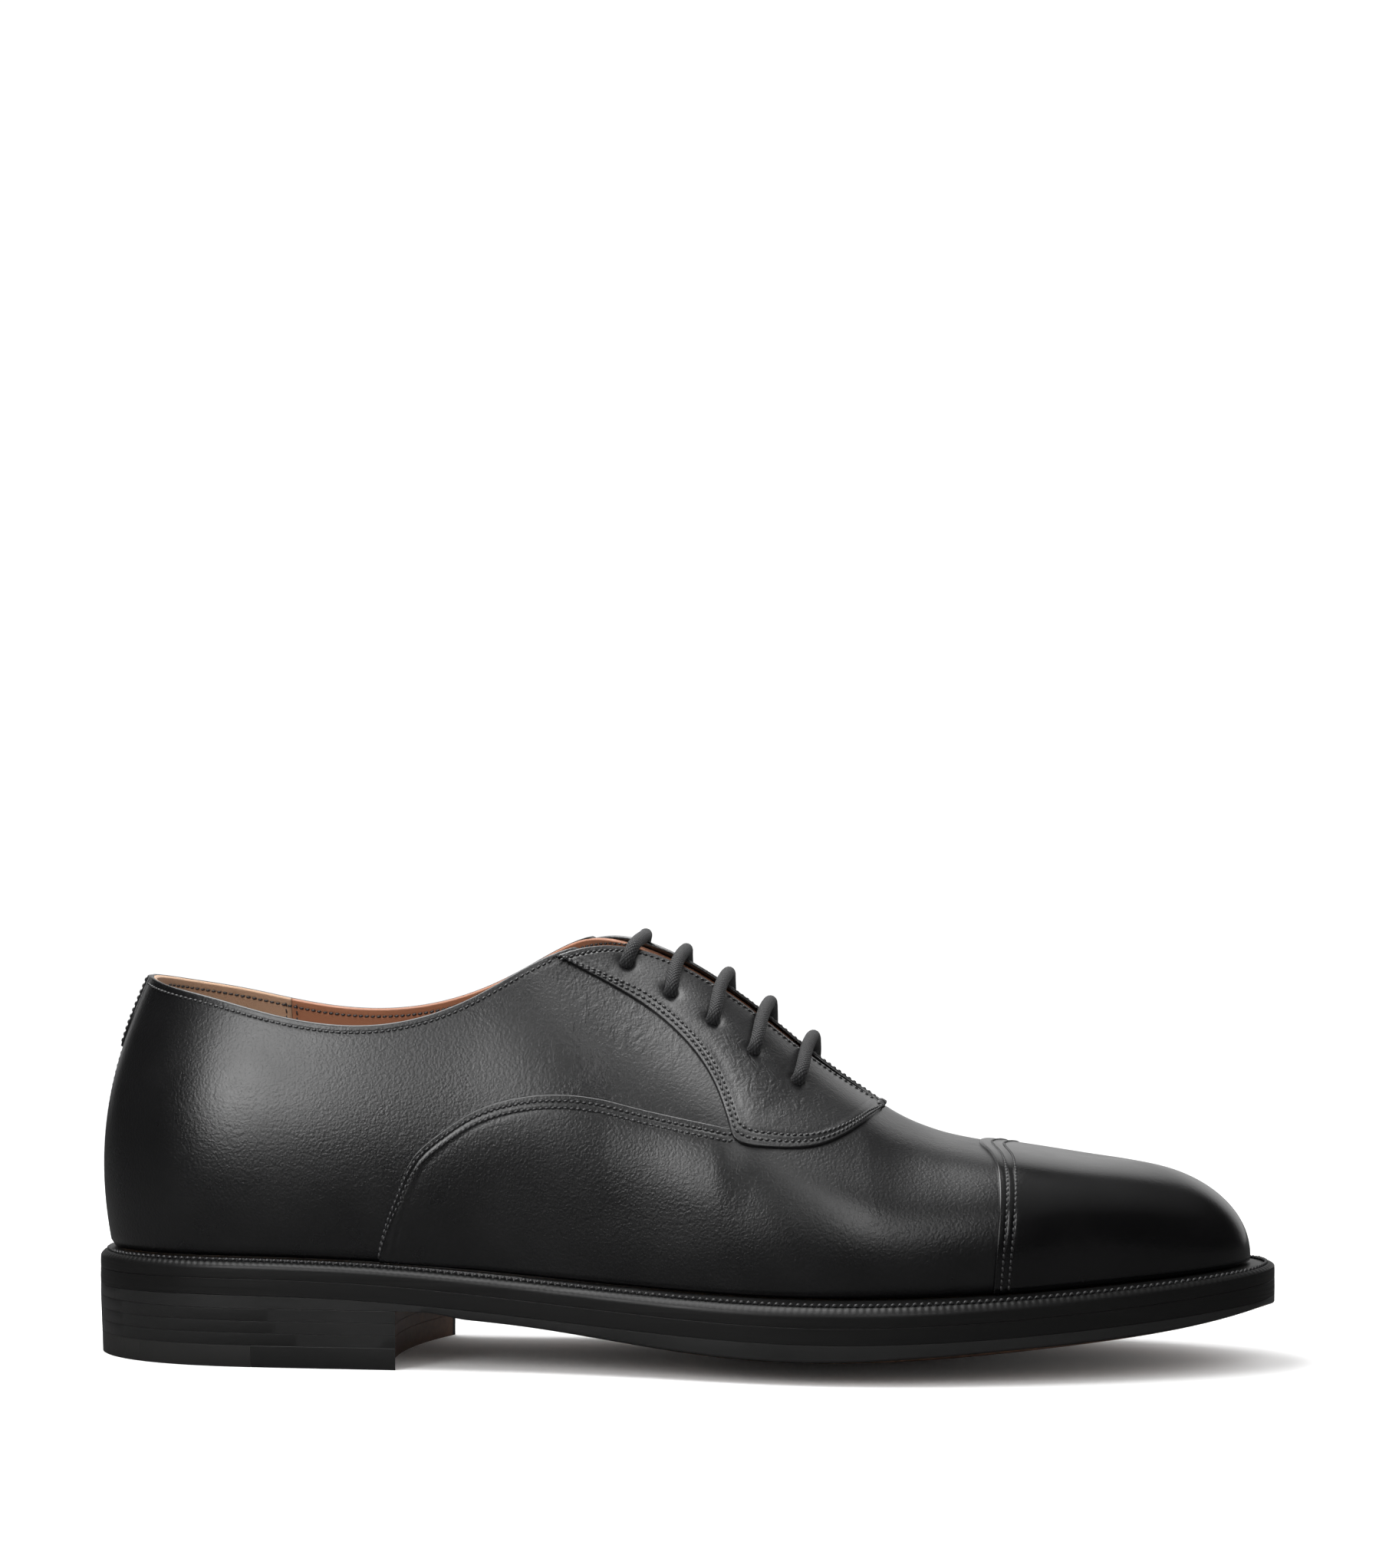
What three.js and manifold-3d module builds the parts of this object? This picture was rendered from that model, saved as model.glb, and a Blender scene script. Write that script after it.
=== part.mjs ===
// A man's cap-toe oxford shoe in black calf, right foot, built up piece by piece.
// Millimetres. +X points to the toe, +Z up, and -Y is the outer (lateral) side.
import * as THREE from 'three';
import { mergeVertices } from 'three/addons/utils/BufferGeometryUtils.js';
import Module from 'manifold-3d';

// ---- driving dimensions ------------------------------------------------------
const GAP = 0.3;            // clearance left between neighbouring pieces
const LAP = 0.6;            // clearance under an edge that laps over another piece
const LAYER = 0.7;          // clearance between the layers of the upper
const LEATHER = 1.0;        // upper leather
const LINING = 0.7;         // lining leather
const STIFFENER = 0.8;      // heel counter and toe puff
const WELT = 3.0;           // welt, at its outer edge
const MIDSOLE = 3.9;
const RIB_WIDTH = 2.0;
const INSOLE = 3.2;
const SOCK = 0.8;
const TONGUE = 1.5;
const CAP_RIDGE_X = 230.6;  // toe cap seam on the middle line of the shoe
const THROAT_X = 206;       // where the two facings meet the vamp
const PUFF_X = 252;         // rear edge of the toe puff
const BREAST_X = 85;        // front of the heel
const HEEL_TOP = 15.1;      // underside of the outsole at the heel
const TOP_LIFT = 5.4;       // rubber and leather top piece of the heel
const HEEL_LIFTS = 3;
const LACE_RADIUS = 1.55;
const EYELET_BORE = 2.15;
const HOLE_RADIUS = 2.9;
const WELT_INSIDE = -5;     // inner edge of the welt, from the feather edge
const FRONT_EDGE = 0.985;   // rib height of the facings' front edges
const COUNTER_HEIGHT = 0.56;

// Top and underside of the bottom stock along the shoe.
const weltTop = cubic([0, 80, 130, 195, 250, 307], [27.4, 26.8, 23.2, 20.8, 22.6, 26.4]);
const weltDrop = cubic([0, 90, 190, 270, 307], [1.9, 2.0, 3.0, 2.0, 1.0]);
const soleEdge = cubic([80, 100, 120, 140, 165, 190, 215, 240, 265, 290, 307],
  [14.7, 13.3, 11.6, 9.2, 6.7, 5.8, 6.9, 8.8, 10.8, 13.8, 17]);
const soleCrown = cubic([80, 100, 120, 140, 165, 190, 215, 240, 265, 290, 307],
  [0, 0.9, 3.0, 4.6, 5.7, 5.8, 6.6, 6.3, 5.0, 3.2, 1.6]);
// Middle line of the vamp and toe, and how far the sole edge stands out from the upper.
const ridge = cubic([200, 206, 212, 219, 228, 240, 254, 271, 280],
  [69.0, 64.9, 61.6, 58.6, 56.3, 54.4, 52.9, 51.3, 50.2]);
const edgeOut = cubic([0, 60, 120, 190, 260, 300], [3.0, 3.4, 4.2, 6.0, 6.4, 6.2]);

// ---- the last: one station per line, once round the shoe ----------------------
// feather x y | top edge x y z | wall lean and reach | top slope and reach
const STATIONS = [
  [3.1, 0, 13.2, 0, 98.3, 11, 0.42, 66, 0.33],
  [9.5, -17, 19.5, -15, 96.6, 11, 0.42, 68, 0.33],
  [27, -29, 34, -23.8, 93.6, 11, 0.42, 72, 0.33],
  [52, -33, 55, -28.2, 88.6, 10, 0.42, 76, 0.33],
  [80, -34, 80.5, -29.2, 87.3, 9, 0.42, 76, 0.33],
  [106, -35.2, 104, -27, 94.8, 8, 0.40, 72, 0.33],
  [129, -37.5, 124, -20.5, 105.6, 7, 0.40, 60, 0.33],
  [152, -42, 145, -7.2, 105.6, 7, 0.40, 34, 0.30],
  [176, -47.5, 171, -4.6, 91.4, 8, 0.42, 22, 0.34],
  [200, -49.5, 194, -3.2, 73.2, 9, 0.44, 12, 0.40],
  [222, -47, 214, 0, 60.8, 9, 0.46, 0, 0.50],
  [244, -41.5, 234, 0, 55.3, 9, 0.52, 0, 0.60],
  [266, -33, 252, 0, 52.7, 9, 0.54, 0, 0.62],
  [285, -22, 264, 0, 51.7, 8, 0.50, 0, 0.45],
  [296.5, -10, 269.5, 0, 51.2, 6, 0.46, 0, 0.31],
  [300, 1.5, 271, 0, 51.0, 4, 0.42, 0, 0.29],
  [297.5, 12.5, 269.5, 0, 51.2, 6, 0.46, 0, 0.31],
  [287, 24, 264, 0, 51.7, 8, 0.50, 0, 0.45],
  [269, 34, 252, 0, 52.7, 9, 0.54, 0, 0.62],
  [248, 41, 234, 0, 55.3, 9, 0.52, 0, 0.60],
  [225, 44, 214, 0, 60.8, 9, 0.46, 0, 0.50],
  [201, 43, 194, 3.2, 73.2, 10, 0.44, 12, 0.40],
  [176, 37, 171, 4.6, 92, 12, 0.42, 22, 0.34],
  [151, 31.5, 145, 7.2, 107, 12, 0.40, 34, 0.30],
  [127, 29, 124, 20.5, 107.2, 10, 0.40, 60, 0.33],
  [104, 29, 104, 27, 97, 9, 0.40, 72, 0.33],
  [79, 30.5, 80.5, 29.2, 89.2, 9, 0.42, 76, 0.33],
  [52, 31, 55, 28.2, 89.2, 10, 0.42, 76, 0.33],
  [27, 28, 34, 23.8, 93.6, 11, 0.42, 72, 0.33],
  [9.5, 16.5, 19.5, 15, 96.6, 11, 0.42, 68, 0.33],
];
const TIP_STATION = 15;

// ---- numbers -------------------------------------------------------------------
function mix(a, b, k) {
  return a + (b - a) * k;
}

function step(low, high, x) {
  const k = Math.min(1, Math.max(0, (x - low) / (high - low)));
  return k * k * (3 - 2 * k);
}

// Second derivatives of a cubic spline; rows of the matrix are given as three bands.
function solveBands(low, mid, high, right, ring) {
  const n = mid.length;
  let guess = new Array(n).fill(0);
  for (let pass = 0; pass < 60; pass++) {
    for (let i = 0; i < n; i++) {
      const before = ring ? guess[(i + n - 1) % n] : (guess[i - 1] ?? 0);
      const after = ring ? guess[(i + 1) % n] : (guess[i + 1] ?? 0);
      guess[i] = (right[i] - low[i] * before - high[i] * after) / mid[i];
    }
  }
  return guess;
}

function splinePiece(bend0, bend1, y0, y1, h, u) {
  const w = h - u;
  return (bend0 * w ** 3 + bend1 * u ** 3) / (6 * h)
    + (y0 / h - bend0 * h / 6) * w + (y1 / h - bend1 * h / 6) * u;
}

// Natural cubic spline through hand-set points, held level past its ends.
function cubic(xs, ys) {
  const last = xs.length - 1;
  const h = xs.slice(1).map((x, i) => x - xs[i]);
  const low = [], mid = [], high = [], right = [];
  for (let i = 0; i <= last; i++) {
    const end = i === 0 || i === last;
    low.push(end ? 0 : h[i - 1]);
    mid.push(end ? 1 : 2 * (h[i - 1] + h[i]));
    high.push(end ? 0 : h[i]);
    right.push(end ? 0 : 6 * ((ys[i + 1] - ys[i]) / h[i] - (ys[i] - ys[i - 1]) / h[i - 1]));
  }
  const bend = solveBands(low, mid, high, right, false);
  return (x) => {
    const at = Math.min(xs[last], Math.max(xs[0], x));
    let i = 0;
    while (i < last - 1 && at > xs[i + 1]) i++;
    return splinePiece(bend[i], bend[i + 1], ys[i], ys[i + 1], h[i], at - xs[i]);
  };
}

// Closed cubic spline through table rows, its parameter running 0 to 1 round the loop.
function closedSpline(rows) {
  const n = rows.length;
  const sides = rows.map((row, i) => {
    const next = rows[(i + 1) % n];
    return Math.hypot(next[0] - row[0], next[1] - row[1]);
  });
  const total = sides.reduce((sum, side) => sum + side, 0);
  const h = sides.map((side) => side / total);
  const knots = h.map((_, i) => h.slice(0, i).reduce((sum, part) => sum + part, 0));
  const bends = rows[0].map((_, c) => {
    const right = rows.map((row, i) => {
      const before = (i + n - 1) % n;
      const after = (i + 1) % n;
      return 6 * ((rows[after][c] - row[c]) / h[i] - (row[c] - rows[before][c]) / h[before]);
    });
    const low = h.map((_, i) => h[(i + n - 1) % n]);
    const mid = h.map((part, i) => 2 * (part + low[i]));
    return solveBands(low, mid, h, right, true);
  });
  const at = (t) => {
    const wrapped = ((t % 1) + 1) % 1;
    let i = 0;
    while (i < n - 1 && wrapped > knots[i + 1]) i++;
    const j = (i + 1) % n;
    return rows[i].map((_, c) =>
      splinePiece(bends[c][i], bends[c][j], rows[i][c], rows[j][c], h[i], wrapped - knots[i]));
  };
  return { at, knots };
}

const loop = closedSpline(STATIONS);
const TIP = loop.knots[TIP_STATION];
const LATERAL = -1;
const MEDIAL = 1;
const SIDES = [[LATERAL, 'lateral'], [MEDIAL, 'medial']];

// ---- the last's surface --------------------------------------------------------
function outward(t) {
  const before = loop.at(t - 1e-3);
  const after = loop.at(t + 1e-3);
  return new THREE.Vector3(after[1] - before[1], before[0] - after[0], 0).normalize();
}

function ridgeSlope(x) {
  return (ridge(x + 0.5) - ridge(x - 0.5));
}

// Top edge of the rib at t: topline, facing front edge, then the closed middle line.
function topEdge(row) {
  const open = 1 - step(198, 207, row[2]);
  return new THREE.Vector3(row[2], row[3] * open, mix(ridge(row[2]), row[4], open));
}

// Point on the last. t runs round the shoe from the back seam, v from feather to top.
function lastPoint(t, v) {
  const row = loop.at(t);
  const foot = new THREE.Vector3(row[0], row[1], weltTop(row[0]));
  const top = topEdge(row);
  const out = outward(t);
  const chord = foot.distanceTo(top);
  const lean = THREE.MathUtils.degToRad(row[5]);
  const slope = THREE.MathUtils.degToRad(row[7]);
  const wall = out.clone().multiplyScalar(Math.sin(lean));
  wall.z = Math.cos(lean);
  const across = new THREE.Vector3(foot.x - top.x, foot.y - top.y, 0).normalize();
  const upright = Math.min(1, Math.max(0, (Math.sin(slope) - 0.75) / 0.2));
  const roof = across.lerp(out, upright).normalize().multiplyScalar(Math.cos(slope));
  roof.z = -Math.sin(slope) + ridgeSlope(top.x) * roof.x * step(198, 212, top.x);
  const p1 = foot.clone().addScaledVector(wall, row[6] * chord);
  const p2 = top.clone().addScaledVector(roof, row[8] * chord);
  const w = 1 - v;
  return foot.multiplyScalar(w ** 3)
    .addScaledVector(p1, 3 * v * w * w)
    .addScaledVector(p2, 3 * v * v * w)
    .addScaledVector(top, v ** 3);
}

function lastNormal(t, v) {
  const e = 1e-3;
  const vRound = Math.min(v, 0.97);
  const along = lastPoint(t + e, vRound).sub(lastPoint(t - e, vRound));
  const up = lastPoint(t, Math.min(1, v + e)).sub(lastPoint(t, Math.max(0, v - e)));
  return along.cross(up).normalize();
}

// The last's surface moved out by d; on the closed middle line both sides agree.
function skin(t, v, d) {
  const top = topEdge(loop.at(t));
  if (v > 0.9999 && top.x > THROAT_X - 0.6) {
    const m = ridgeSlope(top.x);
    const scale = d / Math.hypot(1, m);
    return new THREE.Vector3(top.x - m * scale, 0, ridge(top.x) + scale);
  }
  return lastPoint(t, v).addScaledVector(lastNormal(t, v), d);
}

// Loop parameter on one side where the rib at height v has the given x.
function atX(side, v, x) {
  let low = side === LATERAL ? 0 : 1;
  let high = TIP;
  for (let i = 0; i < 40; i++) {
    const mid = (low + high) / 2;
    if (lastPoint(mid, v).x < x) low = mid;
    else high = mid;
  }
  return (low + high) / 2;
}

// [t, v] of the point that a side view shows at x, z.
function atSide(side, x, z) {
  let low = 0;
  let high = 1;
  for (let i = 0; i < 26; i++) {
    const mid = (low + high) / 2;
    if (lastPoint(atX(side, mid, x), mid).z < z) low = mid;
    else high = mid;
  }
  const v = (low + high) / 2;
  return [atX(side, v, x), v];
}

// ---- seams ---------------------------------------------------------------------
// A seam is a smooth curve in [t, v], drawn on the side view through [x, z] points.
// A point may give 'foot' or 'top' in place of z to sit on the feather or top edge.
function seam(side, points) {
  const marks = points.map(([x, z]) => {
    if (z === 'foot') return [atX(side, 0, x), 0];
    if (z === 'top') return [atX(side, 1, x), 1];
    return atSide(side, x, z);
  });
  const lengths = [0];
  for (let i = 1; i < marks.length; i++) {
    const from = lastPoint(...marks[i - 1]);
    lengths.push(lengths[i - 1] + from.distanceTo(lastPoint(...marks[i])));
  }
  const total = lengths[lengths.length - 1];
  const stops = lengths.map((length) => length / total);
  const ts = cubic(stops, marks.map((mark) => mark[0]));
  const vs = cubic(stops, marks.map((mark) => mark[1]));
  return (s) => [ts(s), Math.min(1, Math.max(0, vs(s)))];
}

// Two curves end to end; the first fills the share up to `split`.
function chain(first, second, split) {
  return (s) => (s <= split ? first(s / split) : second((s - split) / (1 - split)));
}

const ARCH = [[79.5, 'foot'], [81.4, 36.3], [84.9, 46.2], [89.1, 54.4], [95.5, 60],
  [102.8, 64.8], [117.3, 69.3], [130.7, 69.7], [146.9, 66.5], [162.9, 63.3], [169.4, 62]];
const ARCH_LIP = [[85, 'foot'], [86.3, 35], [89.5, 44.5], [93.5, 51], [99, 55.8],
  [105.5, 60], [118, 64.4], [130.7, 65.2], [142, 64.5], [150, 65.1], [157, 65.2], [163, 64.3],
  [168.8, 62.9]];
const FACING_REAR = [[122.5, 'top'], [137.3, 96.9], [153.8, 86.1], [164.7, 73.6], [169.6, 62.5]];
const FACING_LIP = [[126, 'top'], [139.6, 99.2], [156.4, 87.6], [166.3, 74.6], [168.8, 62.6]];
const FACING_FOOT = [[169.6, 62.5], [172, 58.6], [178.6, 57.6], [185, 57.3], [191.8, 57.8],
  [197.8, 59.9]];
const FACING_TOE = [[197.8, 59.9], [202.2, 62.4], [205.8, 'top']];
const VAMP_LIP = [[169.9, 62.1], [174, 62.3], [181, 62.2], [189, 62.2], [196, 63.5],
  [202, 64.6], [206, 'top']];

const arch = (side) => seam(side, ARCH);
const facingRear = (side) => seam(side, FACING_REAR);
const facingFoot = (side) => seam(side, FACING_FOOT);

// x of the toe cap seam at rib height v, running level over the middle line at v = 1.
const capSeam = cubic([0, 0.3, 0.6, 0.8, 1, 1.2], [235.5, 236.9, 236, 233.6, CAP_RIDGE_X, 233.6]);

function curvePoints(curve, count) {
  const points = [];
  for (let i = 0; i <= count; i++) points.push(lastPoint(...curve(i / count)));
  return points;
}

function distanceTo(points, p) {
  return Math.min(...points.map((q) => q.distanceTo(p)));
}

// ---- solids --------------------------------------------------------------------
// Closed solid from quads of numbered points: an outer skin, an inner skin, and walls.
function thicken(quads, outer, inner) {
  const found = new Map();
  const same = outer.map((p, i) => {
    const key = [p.x, p.y, p.z].map((c) => Math.round(c * 997)).join();
    if (!found.has(key)) found.set(key, i);
    return found.get(key);
  });
  const triangles = [];
  for (const [a, b, c, d] of quads.map((quad) => quad.map((i) => same[i]))) {
    for (const tri of [[a, b, c], [a, c, d]]) {
      if (new Set(tri).size === 3) triangles.push(tri);
    }
  }
  const edges = new Set();
  for (const [a, b, c] of triangles) {
    for (const edge of [[a, b], [b, c], [c, a]]) edges.add(edge.join());
  }
  const n = outer.length;
  const faces = [];
  for (const [a, b, c] of triangles) {
    faces.push([a, b, c], [c + n, b + n, a + n]);
    for (const [p, q] of [[a, b], [b, c], [c, a]]) {
      if (edges.has([q, p].join())) continue;
      faces.push([q, p, p + n], [q, p + n, q + n]);
    }
  }
  return fromFaces([...outer, ...inner], faces);
}

function fromFaces(points, faces) {
  const geometry = new THREE.BufferGeometry();
  geometry.setAttribute('position',
    new THREE.Float32BufferAttribute(points.flatMap((p) => [p.x, p.y, p.z]), 3));
  geometry.setIndex(faces.flat());
  return geometry;
}

// Quads of a grid of (cols + 1) by (rows + 1) points, column by column.
function gridQuads(cols, rows, start = 0) {
  const quads = [];
  for (let i = 0; i < cols; i++) {
    for (let j = 0; j < rows; j++) {
      const a = start + i * (rows + 1) + j;
      quads.push([a, a + rows + 1, a + rows + 2, a + 1]);
    }
  }
  return quads;
}

// A piece of leather: `place(a, b)` gives [t, v] and `level(p)` its underside and top.
function panel(cols, rows, place, level) {
  const outer = [];
  const inner = [];
  for (let i = 0; i <= cols; i++) {
    for (let j = 0; j <= rows; j++) {
      const [t, v] = place(i / cols, j / rows);
      const [low, high] = level(lastPoint(t, v));
      outer.push(skin(t, v, high));
      inner.push(skin(t, v, low));
    }
  }
  return thicken(gridQuads(cols, rows), outer, inner);
}

// The same for a piece that runs over the middle line: two halves welded along it.
function saddlePanel(cols, rows, place, level) {
  const outer = [];
  const inner = [];
  const quads = [];
  for (const [side] of SIDES) {
    const start = outer.length;
    for (let i = 0; i <= cols; i++) {
      for (let j = 0; j <= rows; j++) {
        const [t, v] = place(side, i / cols, j / rows);
        const [low, high] = level(lastPoint(t, v), side);
        outer.push(skin(t, v, high));
        inner.push(skin(t, v, low));
      }
    }
    const half = gridQuads(cols, rows, start);
    quads.push(...half.map((quad) => (side === LATERAL ? quad : quad.reverse())));
  }
  return thicken(quads, outer, inner);
}

// Bilinear blend of four boundary curves in [t, v].
function coons(bottom, top, left, right) {
  const corners = [bottom(0), bottom(1), top(0), top(1)];
  return (a, b) => {
    const [low, high, first, last] = [bottom(a), top(a), left(b), right(b)];
    return [0, 1].map((k) => mix(low[k], high[k], b) + mix(first[k], last[k], a)
      - mix(mix(corners[0][k], corners[1][k], a), mix(corners[2][k], corners[3][k], a), b));
  };
}

const flatLevel = () => [-LEATHER, 0];

// Level of a piece that laps over its neighbour along a seam, then sinks to the last.
function lapLevel(edge) {
  return (p) => {
    const lift = 1 - step(8.5, 12, distanceTo(edge, p));
    return [mix(-LEATHER, LAP, lift), mix(0, LAP + 0.8, lift)];
  };
}

// ---- booleans ------------------------------------------------------------------
const wasm = await Module();
wasm.setup();

function toManifold(geometry) {
  const clean = geometry.clone();
  clean.deleteAttribute('normal');
  clean.deleteAttribute('uv');
  const merged = mergeVertices(clean, 1e-4);
  return new wasm.Manifold(new wasm.Mesh({
    numProp: 3,
    vertProperties: new Float32Array(merged.attributes.position.array),
    triVerts: new Uint32Array(merged.index.array),
  }));
}

function cut(geometry, tools) {
  let body = toManifold(geometry);
  for (const tool of tools) body = body.subtract(toManifold(tool));
  const mesh = body.getMesh();
  const result = new THREE.BufferGeometry();
  result.setAttribute('position', new THREE.BufferAttribute(mesh.vertProperties, 3));
  result.setIndex(new THREE.BufferAttribute(mesh.triVerts, 1));
  return result;
}

// ---- the shoe ------------------------------------------------------------------
const shoe = new THREE.Group();
shoe.name = 'oxford_shoe';

function add(name, geometry, color, roughness = 0.4) {
  geometry.computeVertexNormals();
  const material = new THREE.MeshStandardMaterial({ color, roughness });
  material.name = name;
  const mesh = new THREE.Mesh(geometry, material);
  mesh.name = name;
  shoe.add(mesh);
}

const BLACK_CALF = 0x141416;
const TAN_LINING = 0xb06a3c;
const SOLE_LEATHER = 0x5a3a26;
const BLACK_EDGE = 0x101012;

// ---- upper ---------------------------------------------------------------------
function quarter(side) {
  const start = side === LATERAL ? 0.0005 : 0.9995;
  const heel = (r) => [start, r];
  const feather = (c) => [mix(start, atX(side, 0, 85), c), 0];
  const bottom = chain(feather, seam(side, ARCH_LIP), 0.44);
  const right = seam(side, [...FACING_LIP].reverse());
  const topEnd = atX(side, 1, 126);
  const top = (c) => [mix(start, topEnd, c), 1];
  const place = coons(bottom, top, heel, right);
  const geometry = panel(24, 10, place, flatLevel);
  return side === LATERAL ? geometry : turned(geometry);
}

// Reverses every triangle, for pieces whose loop parameter runs backwards.
function turned(geometry) {
  const index = [...geometry.index.array];
  for (let i = 0; i < index.length; i += 3) {
    [index[i], index[i + 2]] = [index[i + 2], index[i]];
  }
  geometry.setIndex(index);
  return geometry;
}

// Columns of the vamp stand on the feather and end on the arch, the facings or the ridge.
const VAMP_COLUMNS = [0, 0.1, 0.25, 0.5, 0.8, 1];
const vampFoot = cubic(VAMP_COLUMNS, [79.5, 90, 117, 172, 213, 240.5]);

function vamp() {
  const edges = new Map();
  const places = new Map();
  for (const [side] of SIDES) {
    edges.set(side, curvePoints((s) => arch(side)(s * 0.9), 60));
    const crest = (c) => [atX(side, 1, mix(THROAT_X, CAP_RIDGE_X + 5, c)), 1];
    const rear = chain(arch(side), seam(side, VAMP_LIP), 0.625);
    const top = chain(rear, crest, 0.8);
    const front = (r) => [atX(side, r, capSeam(r) + 5), r];
    const foot = (c) => [atX(side, 0, vampFoot(c)), 0];
    places.set(side, coons(foot, top, () => foot(0), front));
  }
  return saddlePanel(25, 9, (side, a, b) => places.get(side)(a, b), (p, side) => {
    const fade = 1 - step(151, 162, p.x);
    const lift = (1 - step(8.5, 12, distanceTo(edges.get(side), p))) * fade;
    return [mix(-LEATHER, LAP, lift), mix(0, LAP + 0.8, lift)];
  });
}

// Front part of a layer, from a seam round to the tip, both halves.
function nosePlace(seamT) {
  return (side, a, b) => {
    const u = Math.sin(a * Math.PI / 2) * 0.35 + a * 0.65;
    const t = mix(seamT(side, b), TIP, u);
    if (side === LATERAL) return [t, b];
    const straight = mix(seamT(MEDIAL, 1), TIP, u);
    const wanted = atX(MEDIAL, 1, lastPoint(mix(seamT(LATERAL, 1), TIP, u), 1).x);
    return [t + (wanted - straight) * b ** 4, b];
  };
}

function toeCap() {
  const seamT = (side, v) => atX(side, v, capSeam(v));
  const edges = SIDES.flatMap(([side]) => curvePoints((s) => [seamT(side, s), s], 40));
  return saddlePanel(11, 13, nosePlace(seamT), lapLevel(edges));
}

function facing(side) {
  const rear = facingRear(side);
  const bottom = chain(rear, facingFoot(side), 0.6);
  const right = seam(side, FACING_TOE);
  const held = (curve) => (s) => {
    const [t, v] = curve(s);
    return [t, Math.min(v, FRONT_EDGE)];
  };
  const left = (r) => [atX(side, 1, mix(122.5, 136, r)), FRONT_EDGE];
  const top = (c) => [atX(side, 1, mix(136, 205.8, c)), FRONT_EDGE];
  const place = coons(held(bottom), top, left, held(right));
  const points = [...curvePoints(rear, 40), ...curvePoints(facingFoot(side), 30),
    ...curvePoints(right, 12)];
  const geometry = panel(20, 5, place, lapLevel(points));
  return side === LATERAL ? geometry : turned(geometry);
}

// ---- eyelets and lace ----------------------------------------------------------
const EYELETS = [[140.5, 102.2], [152.2, 94.9], [163.3, 88], [174, 80.6], [185.3, 73.2]];
const eyeletSpots = new Map(SIDES.map(([side]) =>
  [side, EYELETS.map(([x, z]) => atSide(side, x, z + (side === MEDIAL ? 1 : 0)))]));

// Places a solid turned about Z so that its axis stands on the last's surface.
function onSkin(geometry, [t, v], d) {
  const turn = new THREE.Quaternion().setFromUnitVectors(
    new THREE.Vector3(0, 0, 1), lastNormal(t, v));
  const spot = skin(t, v, d);
  return geometry.applyQuaternion(turn).translate(spot.x, spot.y, spot.z);
}

function punches(side) {
  return eyeletSpots.get(side).map((spot) => {
    const bar = new THREE.CylinderGeometry(HOLE_RADIUS, HOLE_RADIUS, 9, 10);
    return onSkin(bar.rotateX(Math.PI / 2), spot, -1);
  });
}

function eyelet(spot) {
  const profile = [[EYELET_BORE, -3.7], [3.6, -3.7], [3.6, -3.35], [HOLE_RADIUS - GAP, -3.35],
    [HOLE_RADIUS - GAP, -0.2], [EYELET_BORE, -0.2], [EYELET_BORE, -3.7]];
  const outline = profile.map(([r, z]) => new THREE.Vector2(r, z));
  const ring = new THREE.LatheGeometry(outline, 8).rotateX(Math.PI / 2);
  return onSkin(ring, spot, 0);
}

// Rises and falls of the lace: up through one hole, over the throat, down the other.
const LACE_INSIDE = -5.6;
const LACE_OUTSIDE = 2.6;

function laceBar(row, from) {
  const points = [];
  const one = eyeletSpots.get(from)[row];
  const other = eyeletSpots.get(-from)[row];
  const lean = new THREE.Vector3(1, 0, -0.6);
  const edge = ([t, v]) => skin(t, mix(v, FRONT_EDGE, 0.62), LACE_OUTSIDE + 0.55).add(lean);
  points.push(skin(...one, LACE_INSIDE + 1.2), skin(...one, -1.4), skin(...one, 1.6));
  points.push(edge(one));
  const middle = lastPoint(one[0], 1).add(lastPoint(other[0], 1)).multiplyScalar(0.5);
  points.push(middle.add(new THREE.Vector3(4.2, 0, 0.8)));
  points.push(edge(other));
  points.push(skin(...other, 1.6), skin(...other, -1.4));
  points.push(skin(...other, LACE_INSIDE + 1.2));
  return points;
}

// Inside run down one facing from the hole of `row` to the next.
function laceRun(row, side) {
  const spots = eyeletSpots.get(side);
  const between = [0, 1].map((k) => mix(spots[row][k], spots[row + 1][k], 0.5));
  return [skin(...between, LACE_INSIDE)];
}

function laceTail(side, marks) {
  return marks.map(([x, z, depth]) => {
    const [t, v] = atSide(side, x, z);
    return skin(t, v, depth);
  });
}

const TAIL_TOP = [[150, 56, -7], [141, 66, -6.5], [136, 78, -6.5], [135, 90, -6.5]];
const TAIL_FOOT = [[186, 62, -6.5], [176, 61, -6.5], [164, 59, -6.5], [152, 53, -6.5]];

function laceRoute() {
  const points = laceTail(LATERAL, TAIL_TOP);
  let side = LATERAL;
  for (let row = 0; row < EYELETS.length; row++) {
    points.push(...laceBar(row, side));
    side = -side;
    if (row < EYELETS.length - 1) points.push(...laceRun(row, side));
  }
  points.push(...laceTail(side, TAIL_FOOT));
  return points;
}

function lace() {
  const route = new THREE.CatmullRomCurve3(laceRoute(), false, 'centripetal');
  const round = new THREE.Shape();
  round.absarc(0, 0, LACE_RADIUS, 0, 2 * Math.PI, false);
  return new THREE.ExtrudeGeometry(round,
    { steps: 130, curveSegments: 4, bevelEnabled: false, extrudePath: route });
}

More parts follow.
